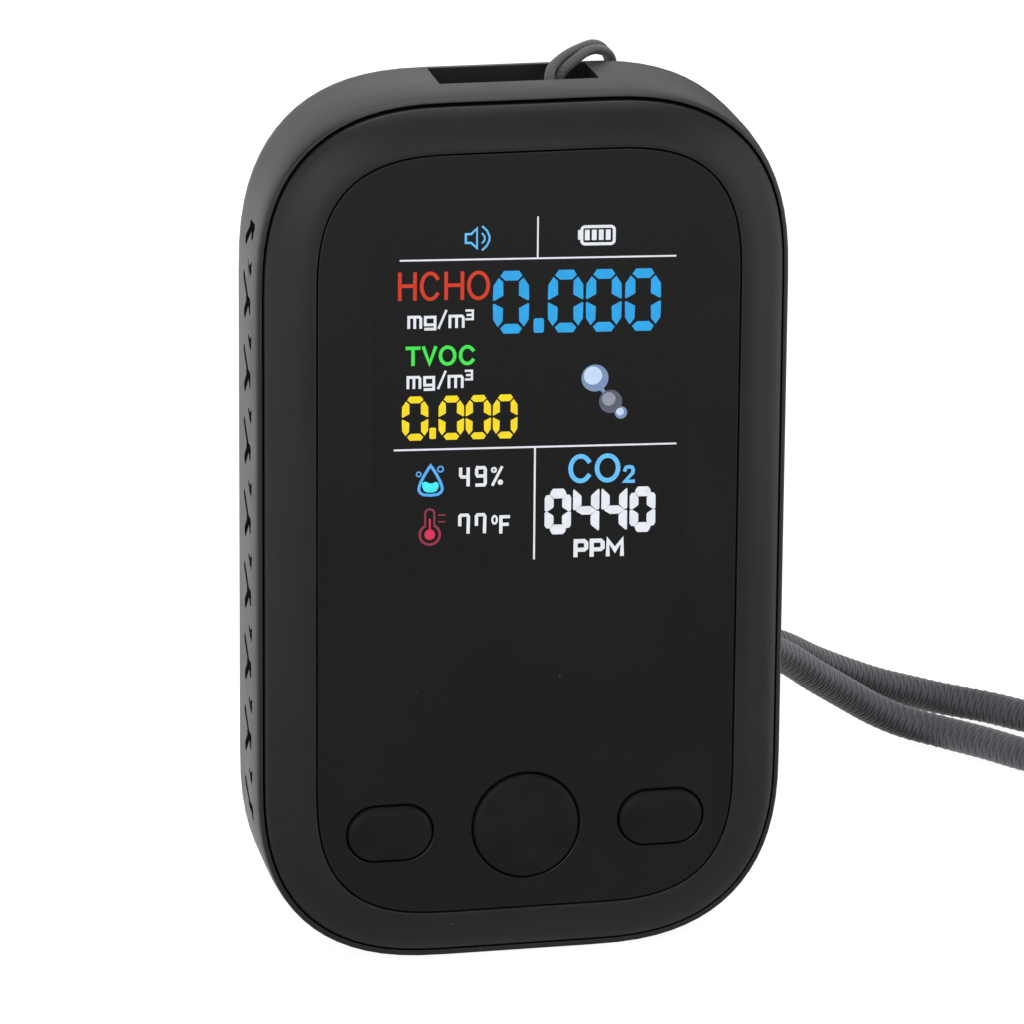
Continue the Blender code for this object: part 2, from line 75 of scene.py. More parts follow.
# ---- what the frame says, in millimetres ----
SHELL_LOW, SHELL_HIGH = span("rear_shell")
HALF_W = (SHELL_HIGH.x - SHELL_LOW.x) / 2
CASE_H = SHELL_HIGH.z
MID_Z = CASE_H / 2
SEAM_Y, BACK_Y = SHELL_LOW.y, SHELL_HIGH.y
PANEL_Y = span("front_panel")[0].y
PANEL_BACK_Y = span("front_panel")[1].y
CORNER = 17.0             # how far along each side a corner of the case reaches
CORNER_CUT = 5.72         # from the square corner to the case, along the diagonal
WIDER = 0.18              # the shell's crowned side walls stand this much proud of their ends
WALL = 1.3
BACK_ROUND, TOP_BACK_ROUND = 4.0, 2.6
GAP, FINE_GAP = 0.3, 0.14  # the CAD parts' clearance, and the visible one round the panel and the keys
FRAME_INSET = 0.8         # from the shell's outline to the bezel's
TOP_SEAM = 0.28           # the seam is this much wider along the top
PANEL_INSET = 4.72        # from the shell's outline to the opening for the panel
LEDGE = 1.25              # the bezel's ledge behind the panel
# how far the top is pulled in towards its front edge, and where
CROWN_Y = (-5.55, -5.41, -5.2, -4.9, -4.0, -2.7, -1.4, 0.5)
CROWN_INSET = (0.76, 0.6, 0.49, 0.4, 0.245, 0.11, 0.035, 0.0)
POCKET_W, POCKET_MID_X, POCKET_DEEP, POCKET_Y = 13.95, 0.33, 6.5, (-1.25, 5.2)
VENT_PITCH, VENT_MID_Y, VENT_MID_Z = 6.47, -1.45, MID_Z + 0.7
LEAN = 0.045              # the case is slightly askew: its back sits this share of the depth to the right
WALL_PARTS = 16           # the straight side walls are split this often, so that the vents cut cleanly
SEAM_INSET = 0.6          # the shell's rim at the seam
REBATE = 1.35             # depth of the step in the shell that the bezel sits in

SCREWS = [f"board_screw_{corner}" for corner in ("top_left", "top_right", "bottom_left", "bottom_right")]

# ---- camera ----
YAW, PITCH, ROLL = radians(12.85), radians(15.6), radians(0.48)
AIM = Vector((-1.014, PANEL_Y + 2.05, MID_Z + 1.55))
AIM_DISTANCE = 575.11
LENS = 234.82


def make_camera():
    forward = Vector((sin(YAW) * cos(PITCH), cos(YAW) * cos(PITCH), -sin(PITCH)))
    level = Vector((cos(YAW), -sin(YAW), 0))
    upright = level.cross(forward)
    right = cos(ROLL) * level + sin(ROLL) * upright
    up = cos(ROLL) * upright - sin(ROLL) * level
    data = bpy.data.cameras.new("camera")
    data.sensor_width, data.lens = 36.0, LENS
    data.clip_start, data.clip_end = 0.01, 20.0
    camera = link("camera", data)
    turn = Matrix((right, up, -forward)).transposed().to_4x4()
    camera.matrix_world = Matrix.Translation((AIM - forward * AIM_DISTANCE) * MM) @ turn
    bpy.context.scene.camera = camera


make_camera()


# ---- material helpers ----
def feed(tree, socket, value):
    """Links another node's output to a socket, or sets a plain value on it."""
    if isinstance(value, bpy.types.NodeSocket):
        tree.links.new(value, socket)
    else:
        socket.default_value = value


def add(tree, kind, settings=None, **inputs):
    """A node with its settings and its inputs, where an input is a value or another node's output."""
    made = tree.nodes.new("ShaderNode" + kind)
    for key, value in (settings or {}).items():
        setattr(made, key, value)
    for key, value in inputs.items():
        numbered = key[0] == "i" and key[1:].isdigit()
        feed(tree, made.inputs[int(key[1:]) if numbered else key.replace("_", " ")], value)
    return made


def ranged(tree, value, low=0.0, high=1.0, to_low=0.0, to_high=1.0):
    return add(tree, "MapRange", Value=value, From_Min=low, From_Max=high, To_Min=to_low,
               To_Max=to_high).outputs[0]


def noise(tree, place, scale, detail, rough=0.5):
    return add(tree, "TexNoise", Vector=place, Scale=scale, Detail=detail, Roughness=rough).outputs[0]


def combine(tree, operation, a, b):
    return add(tree, "Math", {"operation": operation}, i0=a, i1=b).outputs[0]


def dot(tree, a, b):
    return add(tree, "VectorMath", {"operation": "DOT_PRODUCT"}, i0=a, i1=b).outputs["Value"]


def scaled(tree, source, factor, offset=0.0):
    return add(tree, "Math", {"operation": "MULTIPLY_ADD"}, i0=source, i1=factor, i2=offset).outputs[0]


def object_place(tree):
    return add(tree, "TexCoord").outputs["Object"]


def blend_colour(tree, factor, a, b):
    """A colour mix; a and b are colours or outputs."""
    mix = add(tree, "Mix", {"data_type": "RGBA"}, i0=factor, i6=a, i7=b)
    return mix.outputs[2]


def rgb(*colour):
    return (*colour, 1.0)


def srgb(*colour):
    """A display colour from 0 to 255 as a linear one."""
    return tuple(c / 12.92 if c <= 0.04045 else ((c + 0.055) / 1.055) ** 2.4
                 for c in (v / 255 for v in colour))


def new_material(name, **values):
    """A material, its node tree and its shader's sockets, with plain values set on those."""
    mat = bpy.data.materials.new(name)
    mat.use_nodes = True
    sockets = mat.node_tree.nodes["Principled BSDF"].inputs
    for key, value in values.items():
        sockets[key.replace("_", " ")].default_value = value
    return mat, mat.node_tree, sockets


def finish(tree, sockets, colour, rough, strength, distance, height):
    relief = add(tree, "Bump", Strength=strength, Distance=distance, Height=height).outputs[0]
    for name, source in (("Base Color", colour), ("Roughness", rough), ("Normal", relief)):
        feed(tree, sockets[name], source)


def surface(name, dark, light, rough, specular=0.5, metallic=0.0, grain=4500.0, bump=0.25, depth=0.00003,
            mottle=90.0, dust=0.0, edge=0.0, stretch=(1, 1, 1), coat=0.0):
    """A moulded, cast or rolled surface: mottled, unevenly rough, with fine grain, a painted highlight on its
    rounded edges, and dust.
    """
    mat, tree, sockets = new_material(name, Metallic=metallic, Specular_IOR_Level=specular, Coat_Weight=coat,
                                      Coat_Roughness=0.12)
    place = add(tree, "Mapping", Vector=object_place(tree), Scale=stretch).outputs[0]
    broad = noise(tree, place, mottle, 5.0, 0.6)
    fine = noise(tree, place, grain, 3.0, 0.6)
    colour = blend_colour(tree, ranged(tree, broad, 0.3, 0.7), rgb(*dark), rgb(*light))
    speckle = ranged(tree, fine, 0.35, 0.75, 0.0, 0.35)
    colour = blend_colour(tree, speckle, colour, rgb(*(min(1.0, c * 1.25) for c in light)))
    # painted highlight: where the rounded normal turns away from the face's own, the colour is lightened
    if edge:
        rounded = add(tree, "Bevel", {"samples": 4}, Radius=0.00014).outputs[0]
        facing = dot(tree, rounded, add(tree, "NewGeometry").outputs["Normal"])
        edge_highlight = rgb(*(min(1.0, c * 2.6 + 0.02) for c in light))
        colour = blend_colour(tree, ranged(tree, facing, 0.99, 0.8, 0.0, edge), colour, edge_highlight)
    if dust:
        cells = add(tree, "TexVoronoi", {"feature": "F1"}, Vector=place, Scale=330.0, Randomness=1.0)
        near = ranged(tree, cells.outputs["Distance"], 0.028, 0.012)
        pick = add(tree, "SeparateColor", Color=cells.outputs["Color"]).outputs[0]
        speck = combine(tree, "MULTIPLY", near, ranged(tree, pick, 0.72, 0.95))
        colour = blend_colour(tree, scaled(tree, speck, dust), colour, rgb(0.3, 0.3, 0.31))
    finish(tree, sockets, colour, ranged(tree, broad, 0.3, 0.7, *rough), bump, depth, fine)
    return mat


def lit(name, colour, gain, specular):
    """A lit part of the display: its own light, slightly uneven, under a smooth dark front."""
    mat, tree, sockets = new_material(name, Base_Color=rgb(0.004, 0.004, 0.004), Specular_IOR_Level=specular,
                                      Emission_Strength=gain)
    cloud = noise(tree, object_place(tree), 1500.0, 3.0)
    glow = blend_colour(tree, ranged(tree, cloud, 0.35, 0.65), rgb(*(c * 0.9 for c in colour)), rgb(*colour))
    feed(tree, sockets["Emission Color"], glow)
    feed(tree, sockets["Roughness"], ranged(tree, cloud, to_low=0.22, to_high=0.34))
    return mat


def woven(name, dark, light, rows, thread):
    """Braided yarn on a tube whose UV runs along (u, in millimetres) and around (v, from 0 to 1)."""
    mat, tree, sockets = new_material(name, Specular_IOR_Level=0.25, Sheen_Weight=0.35, Sheen_Roughness=0.4)
    coords = add(tree, "TexCoord").outputs
    parts = add(tree, "SeparateXYZ", Vector=coords["UV"]).outputs
    along, around = scaled(tree, parts[0], 6.0), scaled(tree, parts[1], rows * 4.0)
    fibre = noise(tree, add(tree, "CombineXYZ", X=along, Y=around).outputs[0], 1.6, 4.0, 0.7)
    # painted shade and highlight: the level from braided_cord darkens the braid's valleys and the gaps under
    # the other stretch of cord, and lightens its ridges
    height = add(tree, "Attribute", {"attribute_name": "painted_braid_shade"}).outputs["Fac"]
    tone = combine(tree, "ADD", height, scaled(tree, fibre, 0.5, -0.25))
    colour = blend_colour(tree, ranged(tree, tone, -0.25, 0.95), rgb(*dark), rgb(*light))
    cloud = noise(tree, coords["Object"], 160.0, 3.0)
    colour = blend_colour(tree, scaled(tree, cloud, 0.5, -0.1), colour, rgb(*dark))
    finish(tree, sockets, colour, ranged(tree, fibre, to_low=0.6, to_high=0.95), 0.5, thread * MM, fibre)
    return mat


# ---- shape helpers ----
def outline(half_w, half_h, radius, mid=(0.0, 0.0), steps=16):
    """Points (x, z) round a rounded rectangle."""
    points = []
    for corner in range(4):
        cx = (half_w - radius) * (1 if corner in (0, 3) else -1)
        cz = (half_h - radius) * (1 if corner in (0, 1) else -1)
        for k in range(steps + 1):
            a = (corner + k / steps) * pi / 2
            points.append((mid[0] + cx + radius * cos(a), mid[1] + cz + radius * sin(a)))
    return points


def case_outline(inset, steps, side=0.0, top=0.0, low=0.0, shift=0.0):
    """The case's outline, with superellipse corners, pulled in by inset and by more at single sides."""
    reach = CORNER - inset
    cut = CORNER_CUT - (sqrt(2) - 1) * inset
    power = -log(2) / log(1 - cut / (reach * sqrt(2)))
    points = []
    for corner in range(4):
        sx = 1 if corner in (0, 3) else -1
        sz = 1 if corner in (0, 1) else -1
        cx = HALF_W - inset - side - reach
        cz = MID_Z - inset - reach - (top if sz > 0 else low)
        for k in range(steps + 1):
            a = k / steps * pi / 2
            if corner % 2:
                a = pi / 2 - a
            u, v = abs(cos(a)) ** (2 / power), abs(sin(a)) ** (2 / power)
            points.append((shift + sx * (cx + reach * u), MID_Z + sz * (cz + reach * v)))
    walls = []
    for (x0, z0), (x1, z1) in zip(points, points[1:] + points[:1]):
        walls.append((x0, z0))
        if abs(z1 - z0) > CORNER:
            walls += [(x0 + (x1 - x0) * k / WALL_PARTS, z0 + (z1 - z0) * k / WALL_PARTS)
                      for k in range(1, WALL_PARTS)]
    return walls


def case_rings(profile, steps, more=lambda inset, y: ()):
    """The case's outline at each (inset, y) of a profile; more gives what else case_outline takes there."""
    return [at_depth(case_outline(inset, steps, *more(inset, y)), y) for inset, y in profile]


def depth_under(x, z):
    """How far a point (x, z) lies inside the case's widest outline."""
    along, up = abs(x) - (HALF_W + WIDER - CORNER), abs(z - MID_Z) - (MID_Z - CORNER)
    if along <= 0 or up <= 0:
        return min(CORNER - along, CORNER - up)
    power = -log(2) / log(1 - CORNER_CUT / (CORNER * sqrt(2)))
    return CORNER - (along ** power + up ** power) ** (1 / power)


def stadium(half_len, half_h, mid, steps):
    return outline(half_len, half_h, min(half_len, half_h) - 0.001, mid, steps)


def arc(start, end, steps):
    """A quarter ellipse between two (inset, y) points that leaves start along y."""
    points = []
    for k in range(steps + 1):
        a = k / steps * pi / 2
        u, v = 1 - cos(a), sin(a)
        points.append((start[0] + (end[0] - start[0]) * u, start[1] + (end[1] - start[1]) * v))
    return points


def smooth_line(points, spacing):
    """Points about spacing apart along a Catmull-Rom curve through the given ones, flat or in space."""
    knots = [Vector(p) for p in points]
    knots = [2 * knots[0] - knots[1], *knots, 2 * knots[-1] - knots[-2]]
    dense = []
    for a, b, c, d in zip(knots, knots[1:], knots[2:], knots[3:]):
        for k in range(24):
            t = k / 24
            dense.append(0.5 * (2 * b + (c - a) * t + (2 * a - 5 * b + 4 * c - d) * t * t
                                + (3 * b - a - 3 * c + d) * t * t * t))
    dense.append(knots[-2])
    length = sum((q - p).length for p, q in zip(dense, dense[1:]))
    count = max(2, round(length / spacing))
    route, walked, goal = [dense[0]], 0.0, length / count
    for p, q in zip(dense, dense[1:]):
        step = (q - p).length
        while walked + step >= goal * len(route) and len(route) < count:
            route.append(p.lerp(q, (goal * len(route) - walked) / step))
        walked += step
    return [*route, dense[-1]]


def finish_mesh(name, bm):
    bmesh.ops.recalc_face_normals(bm, faces=bm.faces)
    mesh = bpy.data.meshes.new(name)
    bm.to_mesh(mesh)
    bm.free()
    return mesh


def loft(name, rings, ring_closed=False):
    """Skins rings of points in millimetres; the ends are capped unless the last ring joins the first."""
    bm = bmesh.new()
    rows = [[bm.verts.new(Vector(p) * MM) for p in ring] for ring in rings]
    pairs = list(zip(rows, rows[1:])) + ([(rows[-1], rows[0])] if ring_closed else [])
    count = len(rows[0])
    for low, high in pairs:
        for k in range(count):
            bm.faces.new((low[k], low[(k + 1) % count], high[(k + 1) % count], high[k]))
    if not ring_closed:
        bm.faces.new(rows[0])
        bm.faces.new(rows[-1])
    return finish_mesh(name, bm)


def at_depth(points, y):
    return [(x, y, z) for x, z in points]


def at_height(points, z):
    return [(x, y, z) for x, y in points]


def joined(name, meshes):
    bm = bmesh.new()
    for mesh in meshes:
        bm.from_mesh(mesh)
        bpy.data.meshes.remove(mesh)
    return finish_mesh(name, bm)


def rod(name, start, end, radius, segments):
    bm = bmesh.new()
    axis = (Vector(end) - Vector(start)) * MM
    turn = Vector((0, 0, 1)).rotation_difference(axis).to_matrix().to_4x4()
    place = Matrix.Translation((Vector(end) + Vector(start)) / 2 * MM) @ turn
    bmesh.ops.create_cone(bm, cap_ends=True, segments=segments, radius1=radius * MM, radius2=radius * MM,
                          depth=axis.length, matrix=place)
    return finish_mesh(name, bm)


def piece(name, mesh, mat, body="case", replaces=(), sharp_deg=32.0):
    """Links a mesh as a piece that rides on a body and may stand for CAD nodes."""
    mesh.materials.clear()
    mesh.materials.append(mat)
    mesh.shade_smooth()
    mesh.set_sharp_from_angle(angle=radians(sharp_deg))
    obj = link(name, mesh)
    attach(obj, body)
    if replaces:
        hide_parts(*replaces)
    return obj


def carve(name, mesh, cutters):
    """The mesh after each (operation, mesh) pair has been cut out of it or joined on."""
    obj = link(name + "_blank", mesh)
    tools = []
    for operation, cutter in cutters:
        tools.append(link("tool", cutter))
        modifier = obj.modifiers.new("cut", "BOOLEAN")
        modifier.operation, modifier.solver, modifier.object = operation, "EXACT", tools[-1]
    bpy.context.view_layer.update()
    done = bpy.data.meshes.new_from_object(obj.evaluated_get(bpy.context.evaluated_depsgraph_get()))
    for old in [obj, *tools]:
        data = old.data
        bpy.data.objects.remove(old)
        bpy.data.meshes.remove(data)
    done.name = name
    return done


# ---- cords ----
THIN_CORD, THICK_CORD = 0.85, 3.1
THIN_ROUTE = [
    (12, 10.8, 48.3), (12, 10.5, 51), (11.95, 9.7, 56), (11.8, 9.3, 64), (11.72, 9.35, 70.2),
    (11.6, 9.5, 72.6), (11.35, 9.8, 74.3), (10.98, 9.95, 75.7), (10.5, 9.6, 76.85), (9.73, 8.66, 77.64),
    (8.77, 7.66, 78.03), (7.68, 6.46, 78.07), (6.25, 5, 77.93), (4.88, 3.55, 77.58), (3.9, 2.1, 77.2),
    (3.38, 0.75, 76.45), (3.3, 0.02, 75), (3.35, -0.2, 73.3), (3.45, 0.12, 71.85), (3.58, 0.85, 71.28),
    (3.72, 1.95, 71.28), (3.86, 2.75, 71.9), (3.98, 3.02, 73), (4.1, 2.8, 74.2), (4.26, 2.4, 75.2),
    (4.52, 2.22, 76.1), (5, 2.5, 76.82), (5.7, 3.06, 77.27), (6.62, 3.97, 77.64), (7.61, 5.1, 77.88),
    (8.64, 6.2, 77.87), (9.67, 7.3, 77.5), (10.4, 8.2, 76.98), (10.88, 8.9, 76.1), (10.85, 9.05, 74.5),
    (10.7, 9, 72.6), (10.66, 9, 70.2), (10.75, 9.1, 64), (10.95, 9.6, 56), (11, 10.5, 51),
    (11, 10.8, 48.3)]
STRAP_ROUTE = [
    (13.4, 10.8, 38), (13.5, 11.2, 34), (14.6, 13, 29.8), (17.5, 17.2, 25), (22.5, 23.8, 20.6),
    (28.5, 31, 16.6), (35, 37.4, 12.3), (38.9, 40.4, 9.3), (42.9, 42.9, 6.4), (46.3, 44.4, 4.1),
    (49.5, 44.9, 2.5), (52.8, 44.1, 1.6), (56, 39.7, 1.6), (58.6, 35.5, 1.6), (61.6, 31.6, 1.6),
    (65.2, 27.6, 1.6), (69.6, 24.6, 1.6), (74.6, 23.6, 1.6), (79.4, 25.6, 1.6), (82, 30, 1.6),
    (81, 34.8, 1.6), (76.8, 38, 1.6), (71.4, 39.8, 1.6), (66.2, 42.2, 1.6), (62.2, 47.3, 1.6),
    (59.4, 50.9, 1.6), (55.4, 52.5, 2.2), (51.4, 51.4, 3.6), (47.9, 49.9, 5), (44.3, 47.9, 6.8),
    (40.1, 44.9, 9.2), (36, 41.4, 11.9), (28.8, 35, 15.9), (21, 27.4, 20.5), (14.6, 20.2, 25.2),
    (10.7, 14.4, 30), (9.6, 11.4, 34), (9.6, 10.8, 38)]


def painted_crevice_shade(surface_points, centres, travelled, diameter):
    """Painted shade, from 0 to 1, for each point of a cord by how deep it lies in the gap under another
    stretch of the same cord.
    """
    sample = slice(None, None, 8)
    nearest = np.full(surface_points.shape[:2], 1e9)
    for centre, place in zip(centres[sample], travelled[sample]):
        rows = np.abs(travelled - place) > 4 * diameter
        gap = np.linalg.norm(surface_points[rows] - centre, axis=2)
        nearest[rows] = np.minimum(nearest[rows], gap)
    down = (centres[:, None, 2] - surface_points[..., 2]) / (diameter / 2)
    return np.clip((3.4 * diameter - nearest) / (1.2 * diameter), 0, 1) * np.clip(0.25 + 1.2 * down, 0, 1)


def braided_cord(name, route, diameter, mat, node, spacing, sides, rib, strands, relief):
    """A mesh tube with braided yarn standing out of it, its rings close together along the route."""
    points = np.array(smooth_line(route, spacing))
    count = len(points)
    tangents = np.gradient(points, axis=0)
    tangents /= np.linalg.norm(tangents, axis=1)[:, None]
    side = np.cross(tangents[0], (0.0, 1.0, 0.0))
    frames = []
    for tangent in tangents:          # carry one side vector along, so that the tube doesn't twist
        side = side - tangent * (side @ tangent)
        side /= np.linalg.norm(side)
        frames.append((side, np.cross(tangent, side)))
    normals, binormals = np.array(frames).transpose(1, 0, 2)
    travelled = np.concatenate([[0], np.cumsum(np.linalg.norm(np.diff(points, axis=0), axis=1))])
    angles = np.arange(sides) / sides * 2 * pi
    s, a = np.meshgrid(travelled, angles, indexing="ij")
    turns = a / (2 * pi)

    def wave(cycles):
        return 0.5 + 0.5 * np.cos(2 * pi * cycles)

    one, two = wave(s / rib + strands * turns), wave(s / rib - strands * turns)
    over = wave(strands * turns * 2)
    height = np.maximum(one * (0.55 + 0.45 * over), two * (1.0 - 0.45 * over)) ** 1.3
    height = 0.55 * height + 0.45 * wave(s / (rib / 2) + strands / 2 * turns)
    radius = diameter / 2 * (1 + relief * (height - 0.62))
    outward = (np.cos(a)[..., None] * normals[:, None, :]
               + np.sin(a)[..., None] * binormals[:, None, :])
    surface_points = points[:, None, :] + radius[..., None] * outward
    verts = [tuple(p) for p in surface_points.reshape(-1, 3) * MM]
    # painted shade: the colour level is pulled down on a strand's lower side where another stretch of the
    # cord lies close
    height = height - 1.3 * painted_crevice_shade(surface_points, points, travelled, diameter)
    ends = [tuple(points[0] * MM), tuple(points[-1] * MM)]
    faces, uvs = [], []
    for i in range(count - 1):
        for j in range(sides):
            n = (j + 1) % sides
            faces.append((i * sides + j, (i + 1) * sides + j, (i + 1) * sides + n, i * sides + n))
            u0, u1, v0, v1 = travelled[i], travelled[i + 1], j / sides, (j + 1) / sides
            uvs += [(u0, v0), (u1, v0), (u1, v1), (u0, v1)]
    last = (count - 1) * sides
    for j in range(sides):
        n = (j + 1) % sides
        faces.append((j, n, count * sides))
        faces.append((last + n, last + j, count * sides + 1))
        uvs += [(0, 0)] * 3 + [(travelled[-1], 0)] * 3
    mesh = bpy.data.meshes.new(name)
    mesh.from_pydata(verts + ends, [], faces)
    mesh.uv_layers.new(name="cord").data.foreach_set("uv", np.array(uvs, np.float32).ravel())
    # the braid's height, less the painted crevice shade, goes to the material as its colour level: painted
    # shade in the valleys, painted highlight on the ridges
    level = mesh.attributes.new("painted_braid_shade", "FLOAT", "POINT")
    level.data.foreach_set("value", np.concatenate([height.ravel(), [0.5, 0.5]]).astype(np.float32))
    mesh.validate()
    obj = piece(name, mesh, mat, replaces=(node,), sharp_deg=180)


# each cord's dark colour is the painted shade of its valleys and gaps, its light colour the painted highlight
# of its ridges
STRAP_LOOK = woven("strap_yarn", (0.01, 0.01, 0.012), (0.115, 0.11, 0.126), 9, 0.06)
THIN_LOOK = woven("thin_cord_yarn", (0.03, 0.029, 0.033), (0.125, 0.122, 0.135), 5, 0.03)
braided_cord("wrist_strap", STRAP_ROUTE, THICK_CORD, STRAP_LOOK, "lanyard_strap", 0.09, 44, 0.93, 4, 0.06)
braided_cord("thin_loop", THIN_ROUTE, THIN_CORD, THIN_LOOK, "lanyard_thin_loop", 0.07, 18, 0.42, 3, 0.16)

# ---- materials of the case ----
CASE_LOOK = surface("case_moulded", (0.0085, 0.0085, 0.009), (0.0125, 0.0125, 0.013), (0.4, 0.5),
                    specular=0.34, grain=5200, bump=0.22, dust=0.5, edge=0.5)
# painted shade: a darker, rougher copy of the case plastic for the faces inside the vents, the pocket and
# behind the seam
CASE_INSIDE_SHADE_LOOK = surface("case_inside_painted_shade", (0.006, 0.006, 0.0063), (0.009, 0.009, 0.0094), (0.75, 0.9),
                           specular=0.1, grain=5200, bump=0.2)
BEZEL_LOOK = surface("bezel_moulded", (0.009, 0.009, 0.0094), (0.0125, 0.0125, 0.013), (0.34, 0.44),
                     specular=0.25, grain=6000, bump=0.16, dust=0.6, edge=0.6)
PANEL_LOOK = surface("panel_hard_coat", (0.004, 0.004, 0.0047), (0.0058, 0.0058, 0.0066), (0.24, 0.32),
                     specular=0.25, grain=7500, bump=0.05, mottle=60, dust=0.7, edge=0.4)
KEY_LOOK = surface("key_moulded", (0.006, 0.006, 0.006), (0.0095, 0.0095, 0.0095), (0.38, 0.48),
                   specular=0.11, grain=6500, bump=0.14, mottle=300, dust=0.6, edge=0.6)


# ---- rear shell ----
def slot_cutter(y, z, dy, dz, width, flare):
    """A round-ended slot through both side walls, with a sloping edge where it breaks the surface."""
    length = hypot(dy, dz)
    turn = atan2(dz, dy)

    def section(x, grow):
        shape = stadium(length / 2 + width / 2 + grow, width / 2 + grow, (length / 2, 0), 5)
        return [(x, y + u * cos(turn) - v * sin(turn), z + u * sin(turn) + v * cos(turn))
                for u, v in shape]

    wide, lip = HALF_W + WIDER, 0.16
    levels = ((-wide - 0.5, flare * (1 + 0.5 / lip)), (-wide + lip, 0), (wide - lip, 0),
              (wide + 0.5, flare * (1 + 0.5 / lip)))
    return loft("slot", [section(x, grow) for x, grow in levels])


def vent_sets():
    """Each vent mark is a wide middle and three arms; small marks sit between the large ones."""
    big = ((-0.95, 0.2, 1.7, 0, 0.85, 0.1), (0, 0.2, 2.45, 1.7, 0.8, 0.12), (0.35, 0, 1.7, -1.35, 0.95, 0.34),
           (-0.2, 0.2, -0.7, -0.65, 0.75, 0.12))
    small = ((-0.25, 0, 0.5, 0, 0.8, 0.1), (0.1, 0, 0.8, 0.35, 0.5, 0.1), (0, 0, -0.45, 0.5, 0.5, 0.1),
             (-0.15, 0, -0.1, -0.3, 0.55, 0.1))
    sets = [[] for _ in range(4)]
    for row in range(-4, 5):
        z = VENT_MID_Z + row * VENT_PITCH
        for k, (y0, z0, dy, dz, width, flare) in enumerate(big):
            if (row, k) not in ((4, 1), (-4, 2)):
                sets[k].append(slot_cutter(VENT_MID_Y + y0, z + z0, dy, dz, width, flare))
        if row < 4:
            for k, (y0, z0, dy, dz, width, flare) in enumerate(small):
                middle = z + VENT_PITCH / 2 - 0.05
                sets[k].append(slot_cutter(VENT_MID_Y - 1.1 + y0, middle + z0, dy, dz, width, flare))
    return [("DIFFERENCE", joined(f"vents_{k}", slots)) for k, slots in enumerate(sets)]


def pocket_rings():
    """A cutter for the pocket: rounded in plan, with its mouth opened out."""
    mid, flare = (POCKET_MID_X, (POCKET_Y[1] + POCKET_Y[0]) / 2), 0.08
    half = (POCKET_W / 2, (POCKET_Y[1] - POCKET_Y[0]) / 2)
    floor_z = CASE_H - POCKET_DEEP
    levels = [(floor_z, -0.35), (floor_z + 0.12, -0.1), (floor_z + 0.4, 0), (CASE_H - flare, 0),
              (CASE_H - flare * 0.3, flare * 0.3), (CASE_H + 1, flare * 1.6 + 0.9)]
    return [[(x + lean(y) - lean(POCKET_Y[0]), y, z)
             for x, y in outline(half[0] + grow, half[1] + grow, 0.2 + max(grow, 0), mid, 6)]
            for z, grow in levels]


def lean(y):
    return LEAN * (y - SEAM_Y)


def back_top(inset, y):
    """The top's back edge is rounded less than the sides'; this is how much less it is pulled in there."""
    rise = max(0, y - (BACK_Y - TOP_BACK_ROUND))
    return TOP_BACK_ROUND - sqrt(max(0, TOP_BACK_ROUND ** 2 - rise ** 2)) - inset


def front_top(inset, y):
    """The top is crowned further back than the sides are."""
    return float(np.interp(y, CROWN_Y, CROWN_INSET)) - inset


def paint_inside_shade(mesh, rim):
    """Gives the faces of the vents and the pocket, past the outer surface, the second material, a darker copy
    of the case plastic: painted shade in these recesses.
    """
    insets, depths = [r[0] for r in rim], [r[1] for r in rim]
    for face in mesh.polygons:
        x, y, z = face.center / MM
        profile = np.interp(y, depths[::-1], insets[::-1])
        in_pocket = abs(x - POCKET_MID_X) < POCKET_W / 2 + 0.4 and z > MID_Z and y > VENT_MID_Y - 0.5
        if z > CASE_H - CORNER:
            profile = max(profile, np.interp(y, CROWN_Y, CROWN_INSET))
        slack = 0.05 if in_pocket else 0.1 if z < CASE_H - CORNER / 2 else 0.3
        buried = depth_under(x - lean(y), z) - profile > slack
        if buried and y < BACK_Y - BACK_ROUND - 0.02:
            face.material_index = 1


